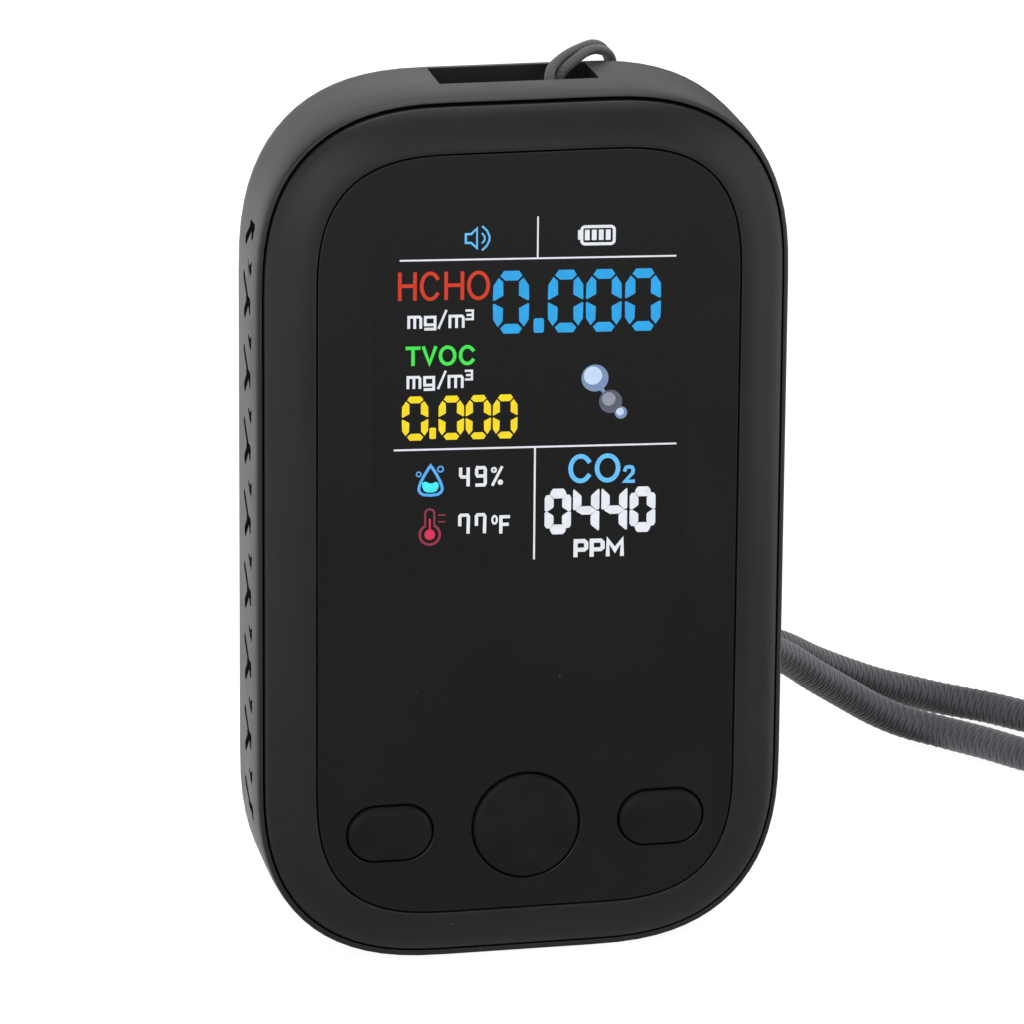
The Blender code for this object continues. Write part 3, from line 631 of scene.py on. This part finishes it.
def rear_shell():
    steps = 18
    back = list(reversed(arc((0, BACK_Y - BACK_ROUND), (BACK_ROUND, BACK_Y), 12)))
    rim = [(0, 3.6), (0, -1), (0, -2.2), (0.015, -3.2), (0.045, -4), (0.085, -4.6), (0.14, -5.05),
           (0.2, -5.3), (0.28, -5.44), (0.42, -5.53), (SEAM_INSET, SEAM_Y)]
    rebate = [(SEAM_INSET, SEAM_Y), (SEAM_INSET, SEAM_Y + REBATE), (WALL, SEAM_Y + REBATE)]
    inside = arc((WALL, BACK_Y - BACK_ROUND), (BACK_ROUND + 0.4, BACK_Y - WALL), 4)
    rings = case_rings(back, steps, lambda inset, y: (-WIDER, back_top(inset, y), 0, lean(y)))
    rings += case_rings(rim, steps, lambda inset, y: (-WIDER, front_top(inset, y), -0.6 * inset, lean(y)))
    rings += case_rings(rebate, steps, lambda inset, y: (-WIDER if inset < WALL else 0, 0.1))
    rings += case_rings(inside, steps)
    blank = loft("rear_shell_blank", rings)
    side, floor_z = POCKET_W / 2, CASE_H - POCKET_DEEP
    boss_y, boss_half = (POCKET_Y[0] + POCKET_Y[1]) / 2, (POCKET_Y[1] - POCKET_Y[0]) / 2 + 1.1
    boss = [at_height(outline(side + 1.6, boss_half, 0.8, (POCKET_MID_X, boss_y), 6), z)
            for z in (floor_z - 1.2, CASE_H - 0.4)]
    _, pin_y, pin_z = middle("lanyard_pin")
    pin_low, pin_high = span("lanyard_pin")
    pin_r = (pin_high.z - pin_low.z) / 2
    mouth = [at_height(outline(4.9 + g, 2 + g, 1.99 + g, (0, 0.7), 10), z)
             for z, g in ((-1, 0.75), (0, 0.22), (0.25, 0), (2.6, 0))]
    cutters = [("UNION", loft("boss", boss)), ("DIFFERENCE", loft("pocket", pocket_rings())),
               ("DIFFERENCE", rod("pin_hole", (-side - 3, pin_y, pin_z), (side + 3, pin_y, pin_z),
                                  pin_r + GAP, 28)),
               ("DIFFERENCE", loft("mouth", mouth)), *vent_sets()]
    shell = piece("case_shell", carve("case_shell", blank, cutters), CASE_LOOK,
                  replaces=("rear_shell",), sharp_deg=21)
    shell.data.materials.append(CASE_INSIDE_SHADE_LOOK)
    paint_inside_shade(shell.data, rim)


# ---- bezel, panel and keys ----
def bezel():
    skirt_y = SEAM_Y + 1.05
    depth = PANEL_Y - SEAM_Y
    knots = [(0.15, 0.19), (0.5, 0.34), (1, 0.51), (1.7, 0.69), (2.4, 0.85), (2.9, 0.94), (3.3, 0.985),
             (3.6, 1), (PANEL_INSET - FRAME_INSET - 0.06, 0.995)]
    face = [tuple(p) for p in smooth_line([(inset, SEAM_Y + share * depth) for inset, share in knots], 0.2)]
    opening = PANEL_INSET - FRAME_INSET
    ledge_y = PANEL_BACK_Y + 3 * GAP
    lip = [(0, skirt_y), (0, SEAM_Y - 0.05), (0.03, SEAM_Y - 0.17), (0.1, SEAM_Y - 0.25)]
    profile = [*lip, *face, (opening - 0.015, PANEL_Y + 0.03), (opening, PANEL_Y + 0.08), (opening, ledge_y),
               (opening + LEDGE, ledge_y), (opening + LEDGE, skirt_y)]
    rings = []
    for inset, y in profile:
        share = max(0, 1 - inset / opening)
        rings.append(at_depth(case_outline(FRAME_INSET + inset, 22, -WIDER * share, TOP_SEAM * share), y))
    posts, bores = [], []
    for screw in SCREWS:
        x, _, z = middle(screw)
        posts.append(rod("post", (x, skirt_y - 0.2, z), (x, span("main_board")[0].y - GAP, z), 1.8, 32))
        bores.append(rod("bore", (x, skirt_y - 0.4, z), (x, -1.4, z), 1, 24))
    done = carve("bezel", loft("bezel_blank", rings, ring_closed=True),
                 [("UNION", joined("posts", posts)), ("DIFFERENCE", joined("bores", bores))])
    made = piece("bezel", done, BEZEL_LOOK, replaces=("front_frame",), sharp_deg=24)
    # the bezel's faces behind the seam get the same painted shade
    made.data.materials.append(CASE_INSIDE_SHADE_LOOK)
    for face in made.data.polygons:
        if face.center.y / MM > SEAM_Y - 0.03:
            face.material_index = 1


FLANGE = 0.5              # the flange behind each key stands this much past its cap


def key_hole(node):
    """Middle (x, z) and half size of the hole round a key, from the CAD box of its flange."""
    low, high = span(node)
    half = ((high.x - low.x) / 2 - FLANGE + GAP, (high.z - low.z) / 2 - FLANGE + GAP)
    return middle(node)[::2], half


def panel():
    inset = PANEL_INSET + FINE_GAP
    edge = [(inset + 0.12, PANEL_Y), (inset + 0.06, PANEL_Y + 0.016), (inset + 0.016, PANEL_Y + 0.06),
            (inset, PANEL_Y + 0.12), (inset, PANEL_BACK_Y)]
    blank = loft("panel_blank", case_rings(edge, 24))
    holes = []
    for node in ("key_left", "key_round", "key_right"):
        mid, half = key_hole(node)
        levels = ((PANEL_Y - 0.4, 0.58), (PANEL_Y, 0.1), (PANEL_Y + 0.03, 0.045), (PANEL_Y + 0.09, 0),
                  (PANEL_BACK_Y + 1, 0))
        rings = [at_depth(stadium(half[0] + g, half[1] + g, mid, 20), y) for y, g in levels]
        holes.append(loft("hole", rings))
    piece("panel", carve("panel", blank, [("DIFFERENCE", joined("holes", holes))]), PANEL_LOOK,
          replaces=("front_panel",), sharp_deg=9)


def key(node, name):
    """A crowned key cap with a rolled edge, and the flange and stem behind the panel."""
    low, high = span(node)
    mid, hole = key_hole(node)
    cap = (hole[0] - FINE_GAP, hole[1] - FINE_GAP)
    front, back = low.y, high.y
    flange_y = PANEL_BACK_Y + GAP
    crown, roll, stem = 0.16, 0.45, (1.3, 1.3)
    inner = (cap[0] - roll, cap[1] - roll)
    flange = (cap[0] + FLANGE, cap[1] + FLANGE)
    rings = []
    for share in (0.15, 0.35, 0.55, 0.72, 0.85):
        shape = stadium(inner[0] - (1 - share) * min(inner) * 0.97,
                        inner[1] - (1 - share) * min(inner) * 0.97, mid, 20)
        rings.append(at_depth(shape, front + crown * share ** 2.2))
    for pull, fall in ((roll, 0), (0.34, 0.03), (0.22, 0.08), (0.11, 0.16), (0.035, 0.28), (0, 0.44)):
        rings.append(at_depth(stadium(cap[0] - pull, cap[1] - pull, mid, 20), front + (crown + fall)))
    for half, y in ((cap, flange_y), (flange, flange_y), (flange, flange_y + 0.6), (stem, flange_y + 0.6),
                    (stem, back)):
        rings.append(at_depth(stadium(*half, mid, 20), y))
    piece(name, loft(name, rings), KEY_LOOK, body=node, replaces=(node,), sharp_deg=40)


rear_shell()
bezel()
panel()
key("key_left", "key_cap_left")
key("key_round", "key_cap_round")
key("key_right", "key_cap_right")


# ---- lit display ----
TILT = -0.026             # the picture sits turned by 1.5 degrees behind the panel
PICTURES = []


def circle(mid, radius, squash, steps):
    return [(mid[0] + radius * cos(a), mid[1] + radius * squash * sin(a))
            for a in np.arange(steps) / steps * 2 * pi]


class Picture:
    """Collects flat shapes (u across, v up, millimetres) as one thin solid just in front of the panel."""

    def __init__(self, name, colour, lift=0.01, gain=1, specular=0.15):
        self.bm, self.name = bmesh.new(), "display_" + name
        self.mat = lit(self.name + "_light", colour, gain, specular)
        self.front, self.back = PANEL_Y - lift, PANEL_Y + 0.03
        PICTURES.append(self)

    def at(self, point, y):
        u, v = point
        return self.bm.verts.new(Vector((u, y, v + TILT * u)) * MM)

    def fill(self, points):
        """A solid outline."""
        front = [self.at(p, self.front) for p in points]
        back = [self.at(p, self.back) for p in points]
        self.bm.faces.new(front)
        self.bm.faces.new(back[::-1])
        for k in range(len(points)):
            n = (k + 1) % len(points)
            self.bm.faces.new((front[k], back[k], back[n], front[n]))

    def strip(self, left, right, closed):
        """A band between two lines of as many points."""
        rows = [[self.at(p, y) for p in side] for side in (left, right) for y in (self.front, self.back)]
        lf, lb, rf, rb = rows
        count = len(left)
        for k in range(count if closed else count - 1):
            n = (k + 1) % count
            for a, b in ((lf, rf), (rf, rb), (rb, lb), (lb, lf)):
                self.bm.faces.new((a[k], a[n], b[n], b[k]))
        if not closed:
            for k in (0, -1):
                self.bm.faces.new((lf[k], rf[k], rb[k], lb[k]))

    def stroke(self, points, width, closed=False):
        """A line of a width with mitred corners; open ends reach half the width further."""
        p = [Vector(q) for q in points]
        if not closed:
            p[0] = p[0] + (p[0] - p[1]).normalized() * width / 2
            p[-1] = p[-1] + (p[-1] - p[-2]).normalized() * width / 2
        left, right = [], []
        for k, here in enumerate(p):
            ways = [(here - p[k - 1]).normalized()] if k or closed else []
            if k < len(p) - 1 or closed:
                ways.append((p[(k + 1) % len(p)] - here).normalized())
            way = sum(ways, Vector((0, 0))).normalized()
            across = Vector((-way.y, way.x))
            normal = Vector((-ways[0].y, ways[0].x))
            reach = width / 2 / max(0.5, across.dot(normal))
            left.append(here + across * reach)
            right.append(here - across * reach)
        self.strip(left, right, closed)

    def ring(self, mid, radius, width, squash=1, steps=28):
        self.stroke(circle(mid, radius, squash, steps), width, closed=True)

    def disc(self, mid, radius, steps=28):
        self.fill(circle(mid, radius, 1, steps))

    def bar(self, u0, u1, v0, v1, round_=0):
        if round_:
            self.fill(outline((u1 - u0) / 2, (v1 - v0) / 2, round_, ((u0 + u1) / 2, (v0 + v1) / 2), 5))
        else:
            self.fill([(u0, v0), (u1, v0), (u1, v1), (u0, v1)])

    def words(self, v0, v1, width, *letters):
        """Letters from GLYPHS in a row, the ink of each between its own u0 and u1."""
        for letter, u0, u1 in letters:
            for line in GLYPHS[letter]:
                self.stroke([(u0 + width / 2 + x * (u1 - u0 - width), v0 + width / 2 + y * (v1 - v0 - width))
                             for x, y in line], width, closed=letter == "O")

    def figures(self, v0, v1, *figures):
        """Seven-segment figures; the coordinates of their blocks run down from the top left."""
        for kind, u0, u1 in figures:
            for part in kind:
                self.fill([(u0 + x * (u1 - u0), v1 - y * (v1 - v0)) for x, y in part])


def round_line(start, end, steps=22):
    """Part of the unit letter's oval, between two angles in degrees."""
    return [(0.5 + 0.5 * cos(radians(a)), 0.5 + 0.5 * sin(radians(a)))
            for a in np.linspace(start, end, steps)]


GLYPHS = {
    "H": [[(0, 0), (0, 1)], [(1, 0), (1, 1)], [(0.05, 0.52), (0.95, 0.52)]],
    "C": [round_line(38, 322)],
    "O": [round_line(0, 345, 24)],
    "T": [[(0, 1), (1, 1)], [(0.5, 0), (0.5, 0.9)]],
    "V": [[(0.02, 1), (0.5, 0.02), (0.98, 1)]],
    "P": [[(0, 0), (0, 1), (0.8, 1), (1, 0.86), (1, 0.5), (0.8, 0.38), (0.1, 0.38)]],
    "M": [[(0, 0), (0, 1), (0.5, 0.3), (1, 1), (1, 0)]],
    "m": [[(0, 0), (0, 1)], [(0.08, 1), (0.42, 1), (0.5, 0.85), (0.5, 0)],
          [(0.58, 1), (0.9, 1), (1, 0.85), (1, 0)]],
    "g": [[(0.95, 0.36), (0, 0.36), (0, 1), (1, 1), (1, 0), (0.05, 0)]],
    "3": [[(0, 1), (1, 1), (1, 0), (0, 0)], [(0.2, 0.5), (0.9, 0.5)]],
    "/": [[(0, 0), (1, 1)]],
    "2": [[(0, 0.78), (0.14, 0.96), (0.5, 1), (0.86, 0.96), (1, 0.78), (0.94, 0.56), (0, 0), (1, 0)]],
    "4": [[(0.04, 1), (0.04, 0.6), (0.18, 0.5), (0.9, 0.5)], [(0.92, 1), (0.92, 0)]],
    "9": [[(0.12, 0.98), (0.88, 0.98), (1, 0.88), (1, 0.12), (0.88, 0.02), (0.05, 0.02)],
          [(0.95, 0.52), (0.12, 0.52), (0, 0.62), (0, 0.88), (0.12, 0.98)]],
    "7": [[(0, 0.45), (0, 0.92), (0.14, 1), (0.86, 1), (1, 0.9), (0.96, 0)]],
    "F": [[(0, 0), (0, 1), (1, 1)], [(0.1, 0.5), (0.85, 0.5)]],
}
LEFT_CELLS = [
    [(0, .2), (.06, .14), (.2, .13), (.33, .23), (.34, .26), (.34, .39), (.31, .42), (.11, .495), (.03, .495),
     (0, .47)],
    [(0, .53), (.03, .505), (.11, .505), (.31, .58), (.34, .61), (.34, .74), (.33, .77), (.2, .87),
     (.06, .86),
     (0, .8)]]
TOP_CELL = [(.2, .115), (.24, .05), (.31, 0), (.7, 0), (.78, .05), (.82, .115), (.8, .14), (.68, .215),
            (.34, .215), (.22, .14)]
SLIM_TOP = [(.2, .085), (.3, 0), (.72, 0), (.81, .08), (.68, .155), (.34, .155)]
SLIM_LEFT = [[(.01, .235), (.157, .11), (.28, .177), (.286, .395), (.03, .476), (0, .46)],
             [(.03, .518), (.28, .595), (.27, .8), (.14, .894), (.01, .78), (0, .53)]]
FOUR = [
    [(0, .06), (.03, .02), (.3, .16), (.32, .2), (.32, .37), (.3, .39), (.13, .48), (.03, .48), (0, .45)],
    [(.12, .49), (.3, .4), (.66, .4), (.88, .49), (.88, .51), (.66, .585), (.34, .585), (.12, .51)],
    [(1, .06), (.97, .02), (.7, .16), (.68, .2), (.68, .37), (.7, .39), (.88, .48), (.97, .48), (1, .45)],
    [(1, .53), (.97, .505), (.9, .505), (.7, .585), (.67, .62), (.67, .78), (.7, .82), (.95, .94), (1, .92)]]


def zero_of(top, left):
    """The six blocks of a nought from the one at the top and the two on the left."""
    return [top, [(x, 1 - y) for x, y in top], *left, *[[(1 - x, y) for x, y in part] for part in left]]


ZERO, SLIM_ZERO = zero_of(TOP_CELL, LEFT_CELLS), zero_of(SLIM_TOP, SLIM_LEFT)


def display():
    window = Picture("window", (0.01, 0.01, 0.012), lift=0.004, gain=0.1, specular=0.25)
    window.bar(-13.8, 14, 35.1, 67.2, 3.7)

    white = Picture("white", srgb(236, 240, 248))
    for start, end, width in (((-11.33, 62.92), (12.64, 62.92), 0.15),
                              ((-11.78, 46.33), (12.89, 46.33), 0.16),
                              ((0.57, 63.05), (0.57, 66.5), 0.14), ((0.49, 36.4), (0.49, 46.2), 0.16)):
        white.stroke((start, end), width)
    for u, v in (((-10.72, -9.44, -9.29, -8.2, -8.08, -7.27, -7.15, -5.75, -5.69, -4.95),
                  (56.97, 58.11, 56.8, 58.08, 56.92, 58.57, 57.62)),
                 ((-10.77, -9.49, -9.32, -8.29, -8.1, -7.3, -7.2, -5.8, -5.7, -4.99),
                  (51.7, 52.84, 51.51, 52.81, 51.64, 53.25, 52.34))):
        white.words(v[0], v[1], 0.24, ("m", u[0], u[1]))
        white.words(v[2], v[3], 0.24, ("g", u[2], u[3]))
        white.words(v[4], v[5], 0.2, ("/", u[4], u[5]))
        white.words(v[0], v[1] + 0.02, 0.24, ("m", u[6], u[7]))
        white.words(v[6], v[6] + 0.95, 0.19, ("3", u[8], u[9]))
    white.figures(38.5, 42.57, (ZERO, 1.39, 3.72), (FOUR, 3.89, 6.22), (FOUR, 6.39, 8.69), (ZERO, 8.9, 11.19))
    white.words(36.4, 38.02, 0.37, ("P", 3.97, 5.28), ("P", 5.4, 6.74))
    white.words(36.4, 38.02, 0.36, ("M", 6.84, 8.45))
    white.words(42.99, 44.66, 0.29, ("4", -6.19, -5.15))
    white.words(42.9, 44.79, 0.29, ("9", -4.76, -3.71))
    white.words(38.78, 40.58, 0.29, ("7", -6.21, -5.16), ("7", -4.75, -3.72))
    white.words(38.71, 40.34, 0.29, ("F", -2.6, -1.66))
    white.ring((-3.1, 44.38), 0.18, 0.17)
    white.stroke([(-2.43, 44.58), (-3.19, 43.09)], 0.24)
    white.disc((-2.53, 43.28), 0.24)
    white.ring((-3.01, 39.95), 0.2, 0.18, 1.7)
    white.stroke(outline(1.42, 0.755, 0.3, (5.82, 64.845), 5), 0.26, closed=True)
    white.bar(4.07, 4.27, 64.48, 65.31)
    for k in range(4):
        white.bar(4.67 + 0.61 * k, 5.09 + 0.61 * k, 64.42, 65.33)

    red = Picture("red", srgb(214, 62, 38))
    red.words(59.43, 61.9, 0.31, ("H", -11.54, -9.92))
    red.words(59.37, 61.94, 0.31, ("C", -9.65, -7.83))
    red.words(59.43, 61.9, 0.31, ("H", -7.53, -5.81))
    red.words(59.37, 61.94, 0.31, ("O", -5.56, -3.56))

    green = Picture("green", srgb(70, 238, 84))
    green.words(53.72, 55.42, 0.3, ("T", -10.86, -9.58), ("V", -9.46, -8.11))
    green.words(53.68, 55.46, 0.3, ("O", -7.99, -6.44), ("C", -6.24, -4.75))

    blue = Picture("blue", srgb(48, 170, 238))
    spans = ((-3.3, -0.14), (1.49, 4.6), (4.82, 7.97), (8.25, 11.42))
    blue.figures(56.38, 61.87, *[(SLIM_ZERO, *span) for span in spans])
    blue.bar(0.26, 1.17, 56.4, 57.68, 0.2)

    yellow = Picture("yellow", srgb(255, 226, 36))
    spans = ((-11.17, -8.86), (-7.98, -5.74), (-5.61, -3.39), (-3.24, -1.06))
    yellow.figures(47.15, 51.04, *[(SLIM_ZERO, *span) for span in spans])
    yellow.bar(-8.76, -8.19, 47.26, 48.25, 0.12)

    pale = Picture("pale_blue", srgb(104, 196, 255))
    pale.words(43, 45.6, 0.4, ("C", 3.44, 5.6), ("O", 5.77, 8.04))
    pale.words(42.91, 44.52, 0.31, ("2", 8.3, 9.33))
    pale.stroke([(-5.69, 64.37), (-5.22, 64.37), (-4.72, 63.9), (-4.72, 65.62), (-5.22, 65.13),
                 (-5.69, 65.13)],
                0.19, closed=True)
    pale.stroke([(-4.22, 65.75), (-3.86, 65.42), (-3.66, 64.98), (-3.62, 64.75), (-3.66, 64.52),
                 (-3.86, 64.1),
                 (-4.22, 63.76)], 0.17)
    pale.stroke([(-4.25, 65.15), (-4.08, 64.95), (-4.04, 64.75), (-4.08, 64.55), (-4.25, 64.36)], 0.15)

    half = [(0, 1), (0.09, 0.9), (0.24, 0.7), (0.38, 0.48), (0.46, 0.3), (0.48, 0.2), (0.42, 0.09),
            (0.28, 0.02),
            (0, 0)]
    rim = Picture("drop", srgb(92, 182, 255))
    rim.stroke([(-8.64 + x * 2.15, 42.28 + y * 2.62) for x, y in half + [(-x, y) for x, y in half[-2:0:-1]]],
               0.25, closed=True)
    rim.ring((-9.68, 44.16), 0.2, 0.11, steps=16)
    rim.ring((-7.78, 44.57), 0.24, 0.12, steps=16)
    water = Picture("water", srgb(74, 244, 255), lift=0.013)
    water.fill([(-9.36, 43.38), (-9.15, 43.5), (-8.92, 43.44), (-8.7, 43.32), (-8.45, 43.34), (-8.2, 43.46),
                (-7.96, 43.36), (-7.93, 43), (-8.1, 42.66), (-8.4, 42.53), (-8.9, 42.53), (-9.2, 42.66),
                (-9.36, 43)])

    dim = Picture("thermometer", srgb(150, 56, 78))
    dim.stroke([(-9.1, 39.62), (-9.1, 40.72), (-9, 40.95), (-8.7, 41.05), (-8.4, 40.95), (-8.3, 40.72),
                (-8.3, 39.62)], 0.17)
    dim.stroke([(-8.69 + 0.88 * cos(radians(a)), 38.78 + 0.88 * sin(radians(a)))
                for a in range(60, -241, -15)],
               0.22)
    dim.stroke([(-7.9, 40.5), (-7.38, 40.5)], 0.12)
    dim.stroke([(-7.9, 39.9), (-7.38, 39.9)], 0.12)
    mercury = Picture("mercury", srgb(222, 54, 92), lift=0.013)
    mercury.disc((-8.69, 38.78), 0.47)
    mercury.stroke([(-8.69, 39.1), (-8.69, 40.1)], 0.16)

    ball = Picture("ball_large", srgb(126, 150, 188))
    ball.disc((5.7, 52.3), 1.19, 40)
    ball.disc((8.02, 49.2), 0.55)
    ball.stroke([(5.9, 51.9), (6.9, 50.5)], 0.34)
    ball.stroke([(7.2, 50), (7.95, 49.3)], 0.26)
    Picture("ball_small", srgb(92, 98, 112), lift=0.012).disc((7.1, 50.2), 1.02, 40)
    shine = Picture("ball_shine", srgb(206, 226, 255), lift=0.015)
    shine.disc((5.52, 52.52), 0.8, 36)
    shine.disc((7.94, 49.28), 0.34)
    Picture("ball_soft", srgb(150, 156, 170), lift=0.015).disc((6.93, 50.42), 0.6, 30)
    for picture in PICTURES:
        piece(picture.name, finish_mesh(picture.name, picture.bm), picture.mat)


display()


# ---- ferrule ----
def ferrule():
    low, high = span("lanyard_ferrule")
    x, y, _ = middle("lanyard_ferrule")
    half = ((high.x - low.x) / 2, (high.y - low.y) / 2)
    levels = [(0, -0.75), (0.06, -0.5), (0.2, -0.2), (0.45, 0)]
    for k in range(4):
        start = 1 + k * 0.95
        levels += [(start, 0), (start + 0.1, -0.16), (start + 0.3, -0.2), (start + 0.5, -0.16),
                   (start + 0.6, 0)]
    levels += [(4.9, 0), (5.3, -0.08), (5.7, -0.28)]
    sizes = [(half[0] + grow, half[1] + grow, z) for z, grow in levels]
    sizes += [(3.15, 1.8, 6.9), (2.65, 1.6, 8.2), (2.35, 1.45, 8.8), (1.95, 1.3, 9.4), (1.75, 1.2, 9.62),
              (1.4, 0.9, 9.7)]
    rings = [at_height(outline(a, b, b - 0.01, (x, y), 12), low.z + z) for a, b, z in sizes]
    look = surface("ferrule_moulded", (0.01, 0.01, 0.011), (0.018, 0.018, 0.019), (0.42, 0.55), specular=0.35,
                   grain=6000, bump=0.3, edge=0.6)
    piece("ferrule", loft("ferrule", rings), look, replaces=("lanyard_ferrule",),
          sharp_deg=40)


ferrule()


# ---- inner parts: the CAD nodes with finished materials ----
def board_look():
    mat = surface("board_solder_mask", (0.01, 0.075, 0.03), (0.014, 0.105, 0.045), (0.25, 0.38), grain=3000,
                  bump=0.1, mottle=200, coat=0.3)
    tree = mat.node_tree
    base = tree.nodes["Principled BSDF"].inputs["Base Color"]
    flat = add(tree, "Mapping", Vector=object_place(tree), Rotation=(pi / 2, 0, 0.5)).outputs[0]
    tracks = add(tree, "TexBrick", Vector=flat, Color1=rgb(0, 0, 0), Color2=rgb(0, 0, 0),
                 Mortar=rgb(1, 1, 1), Scale=420.0, Mortar_Size=0.05).outputs[0]
    feed(tree, base, blend_colour(tree, scaled(tree, tracks, 0.5), base.links[0].from_socket,
                                  rgb(0.05, 0.22, 0.08)))
    return mat


def dress(mat, *nodes):
    """Gives CAD nodes a finished material."""
    for node in nodes:
        for place in frame["nodes"][node].material_slots:
            place.material = mat


dress(board_look(), "main_board")
dress(surface("chip_epoxy", (0.012, 0.012, 0.013), (0.026, 0.026, 0.027), (0.5, 0.65), grain=9000, bump=0.3,
              mottle=600), "controller_chip", "humidity_sensor", "buzzer")
dress(surface("tinplate_rolled", (0.48, 0.48, 0.46), (0.66, 0.66, 0.64), (0.24, 0.42), metallic=1, grain=2500,
              bump=0.12, mottle=250, stretch=(1, 1, 0.1)),
      "co2_sensor", "tvoc_sensor", "usb_port", "switch_left", "switch_round", "switch_right")
dress(surface("steel_turned", (0.42, 0.42, 0.43), (0.6, 0.6, 0.61), (0.2, 0.36), metallic=1, grain=4000,
              bump=0.12, mottle=500, stretch=(0.15, 1, 1)), "lanyard_pin", *SCREWS)
dress(surface("pouch_foil", (0.42, 0.42, 0.45), (0.6, 0.6, 0.62), (0.28, 0.45), metallic=0.8, grain=700,
              bump=0.5, depth=0.0001, mottle=120), "battery")
dress(surface("foam_cells", (0.01, 0.01, 0.01), (0.03, 0.03, 0.03), (0.85, 0.98), specular=0.2, grain=2600,
              bump=0.9, depth=0.0001, mottle=900), "panel_gasket", "battery_pad")
dress(surface("white_moulded", (0.66, 0.66, 0.63), (0.8, 0.8, 0.77), (0.35, 0.5), grain=4200, bump=0.2,
              mottle=200), "display_backlight", "hcho_sensor", "battery_plug")
dress(surface("polyimide_film", (0.36, 0.13, 0.02), (0.55, 0.24, 0.05), (0.22, 0.35), grain=2200, bump=0.15,
              mottle=380, stretch=(3, 1, 0.2), coat=0.4), "display_flex")
dress(surface("display_cell_glass", (0.012, 0.012, 0.016), (0.022, 0.022, 0.028), (0.08, 0.16), grain=3000,
              bump=0.04), "display_cell")
dress(surface("wire_insulation", (0.3, 0.012, 0.012), (0.42, 0.03, 0.025), (0.35, 0.5), grain=5000, bump=0.2,
              mottle=300), "battery_lead")
dress(KEY_LOOK, "switch_plunger_left", "switch_plunger_round", "switch_plunger_right")


# ---- floor and light ----
def stage_piece(name, bm, **values):
    """A part of the studio, which isn't part of the object, with its node tree and its shader's sockets."""
    mat, tree, sockets = new_material(name, Specular_IOR_Level=0.0, Emission_Color=rgb(1, 1, 1), **values)
    mesh = finish_mesh(name, bm)
    mesh.materials.append(mat)
    obj = link(name, mesh)
    return obj, tree, sockets


def floor():
    bm = bmesh.new()
    bmesh.ops.create_grid(bm, x_segments=8, y_segments=8, size=4.0)
    obj, tree, sockets = stage_piece("floor", bm, Roughness=0.9, Emission_Strength=0.92)
    obj.location.z = -0.00005
    cloud = noise(tree, object_place(tree), 30.0, 4.0)
    feed(tree, sockets["Base Color"], blend_colour(tree, cloud, rgb(0.26, 0.26, 0.26), rgb(0.28, 0.28, 0.28)))


def card(name, corners, light):
    """A card that only reflections see, as a photographer darkens a glossy surface."""
    bm = bmesh.new()
    bm.faces.new([bm.verts.new(corner) for corner in corners])
    obj, _, _ = stage_piece(name, bm, Base_Color=rgb(0.02, 0.02, 0.02), Emission_Strength=light)
    obj.visible_camera = obj.visible_diffuse = obj.visible_shadow = obj.visible_transmission = False


def softbox():
    data = bpy.data.lights.new("softbox_above", "AREA")
    data.shape, data.size, data.size_y = "RECTANGLE", 0.7, 0.7
    data.energy = 4.0
    obj = link("softbox_above", data)
    obj.location = (0.05, 0.15, 0.9)
    obj.rotation_mode = "QUATERNION"
    obj.rotation_quaternion = (Vector((0.02, 0.02, 0.03)) - obj.location).to_track_quat("-Z", "Y")


def world():
    """White all round, dimmer high up behind, with two brighter patches for the bezel's upper corners."""
    made = bpy.data.worlds.new("studio")
    made.use_nodes = True
    tree = made.node_tree
    sky = add(tree, "TexCoord").outputs["Generated"]
    way = add(tree, "SeparateXYZ", Vector=sky).outputs
    both = combine(tree, "MULTIPLY", ranged(tree, way[1], 0.92, 0.2), ranged(tree, way[2], 0.22, 0.52))
    strength = ranged(tree, both, to_low=1.05, to_high=0.45)
    for direction, gain in (((-0.48, -0.77, 0.43), 1.9), ((0.8, -0.5, 0.32), 0.9)):
        spot = ranged(tree, dot(tree, sky, direction), 0.9, 0.98, 0.0, gain)
        strength = combine(tree, "ADD", strength, spot)
    background = tree.nodes["Background"].inputs
    background["Color"].default_value = rgb(1, 1, 1)
    feed(tree, background["Strength"], strength)
    bpy.context.scene.world = made


floor()
card("card_in_front", at_height(((-0.11, -0.36), (0.14, -0.36), (0.14, 0.002), (-0.11, 0.002)), -0.00002),
     0.38)
card("card_behind", at_depth(((0.082, 0.0), (0.45, 0.0), (0.45, 0.125), (0.082, 0.125)), 0.3), 0.04)
softbox()
world()
bpy.context.scene.view_settings.view_transform = "Standard"
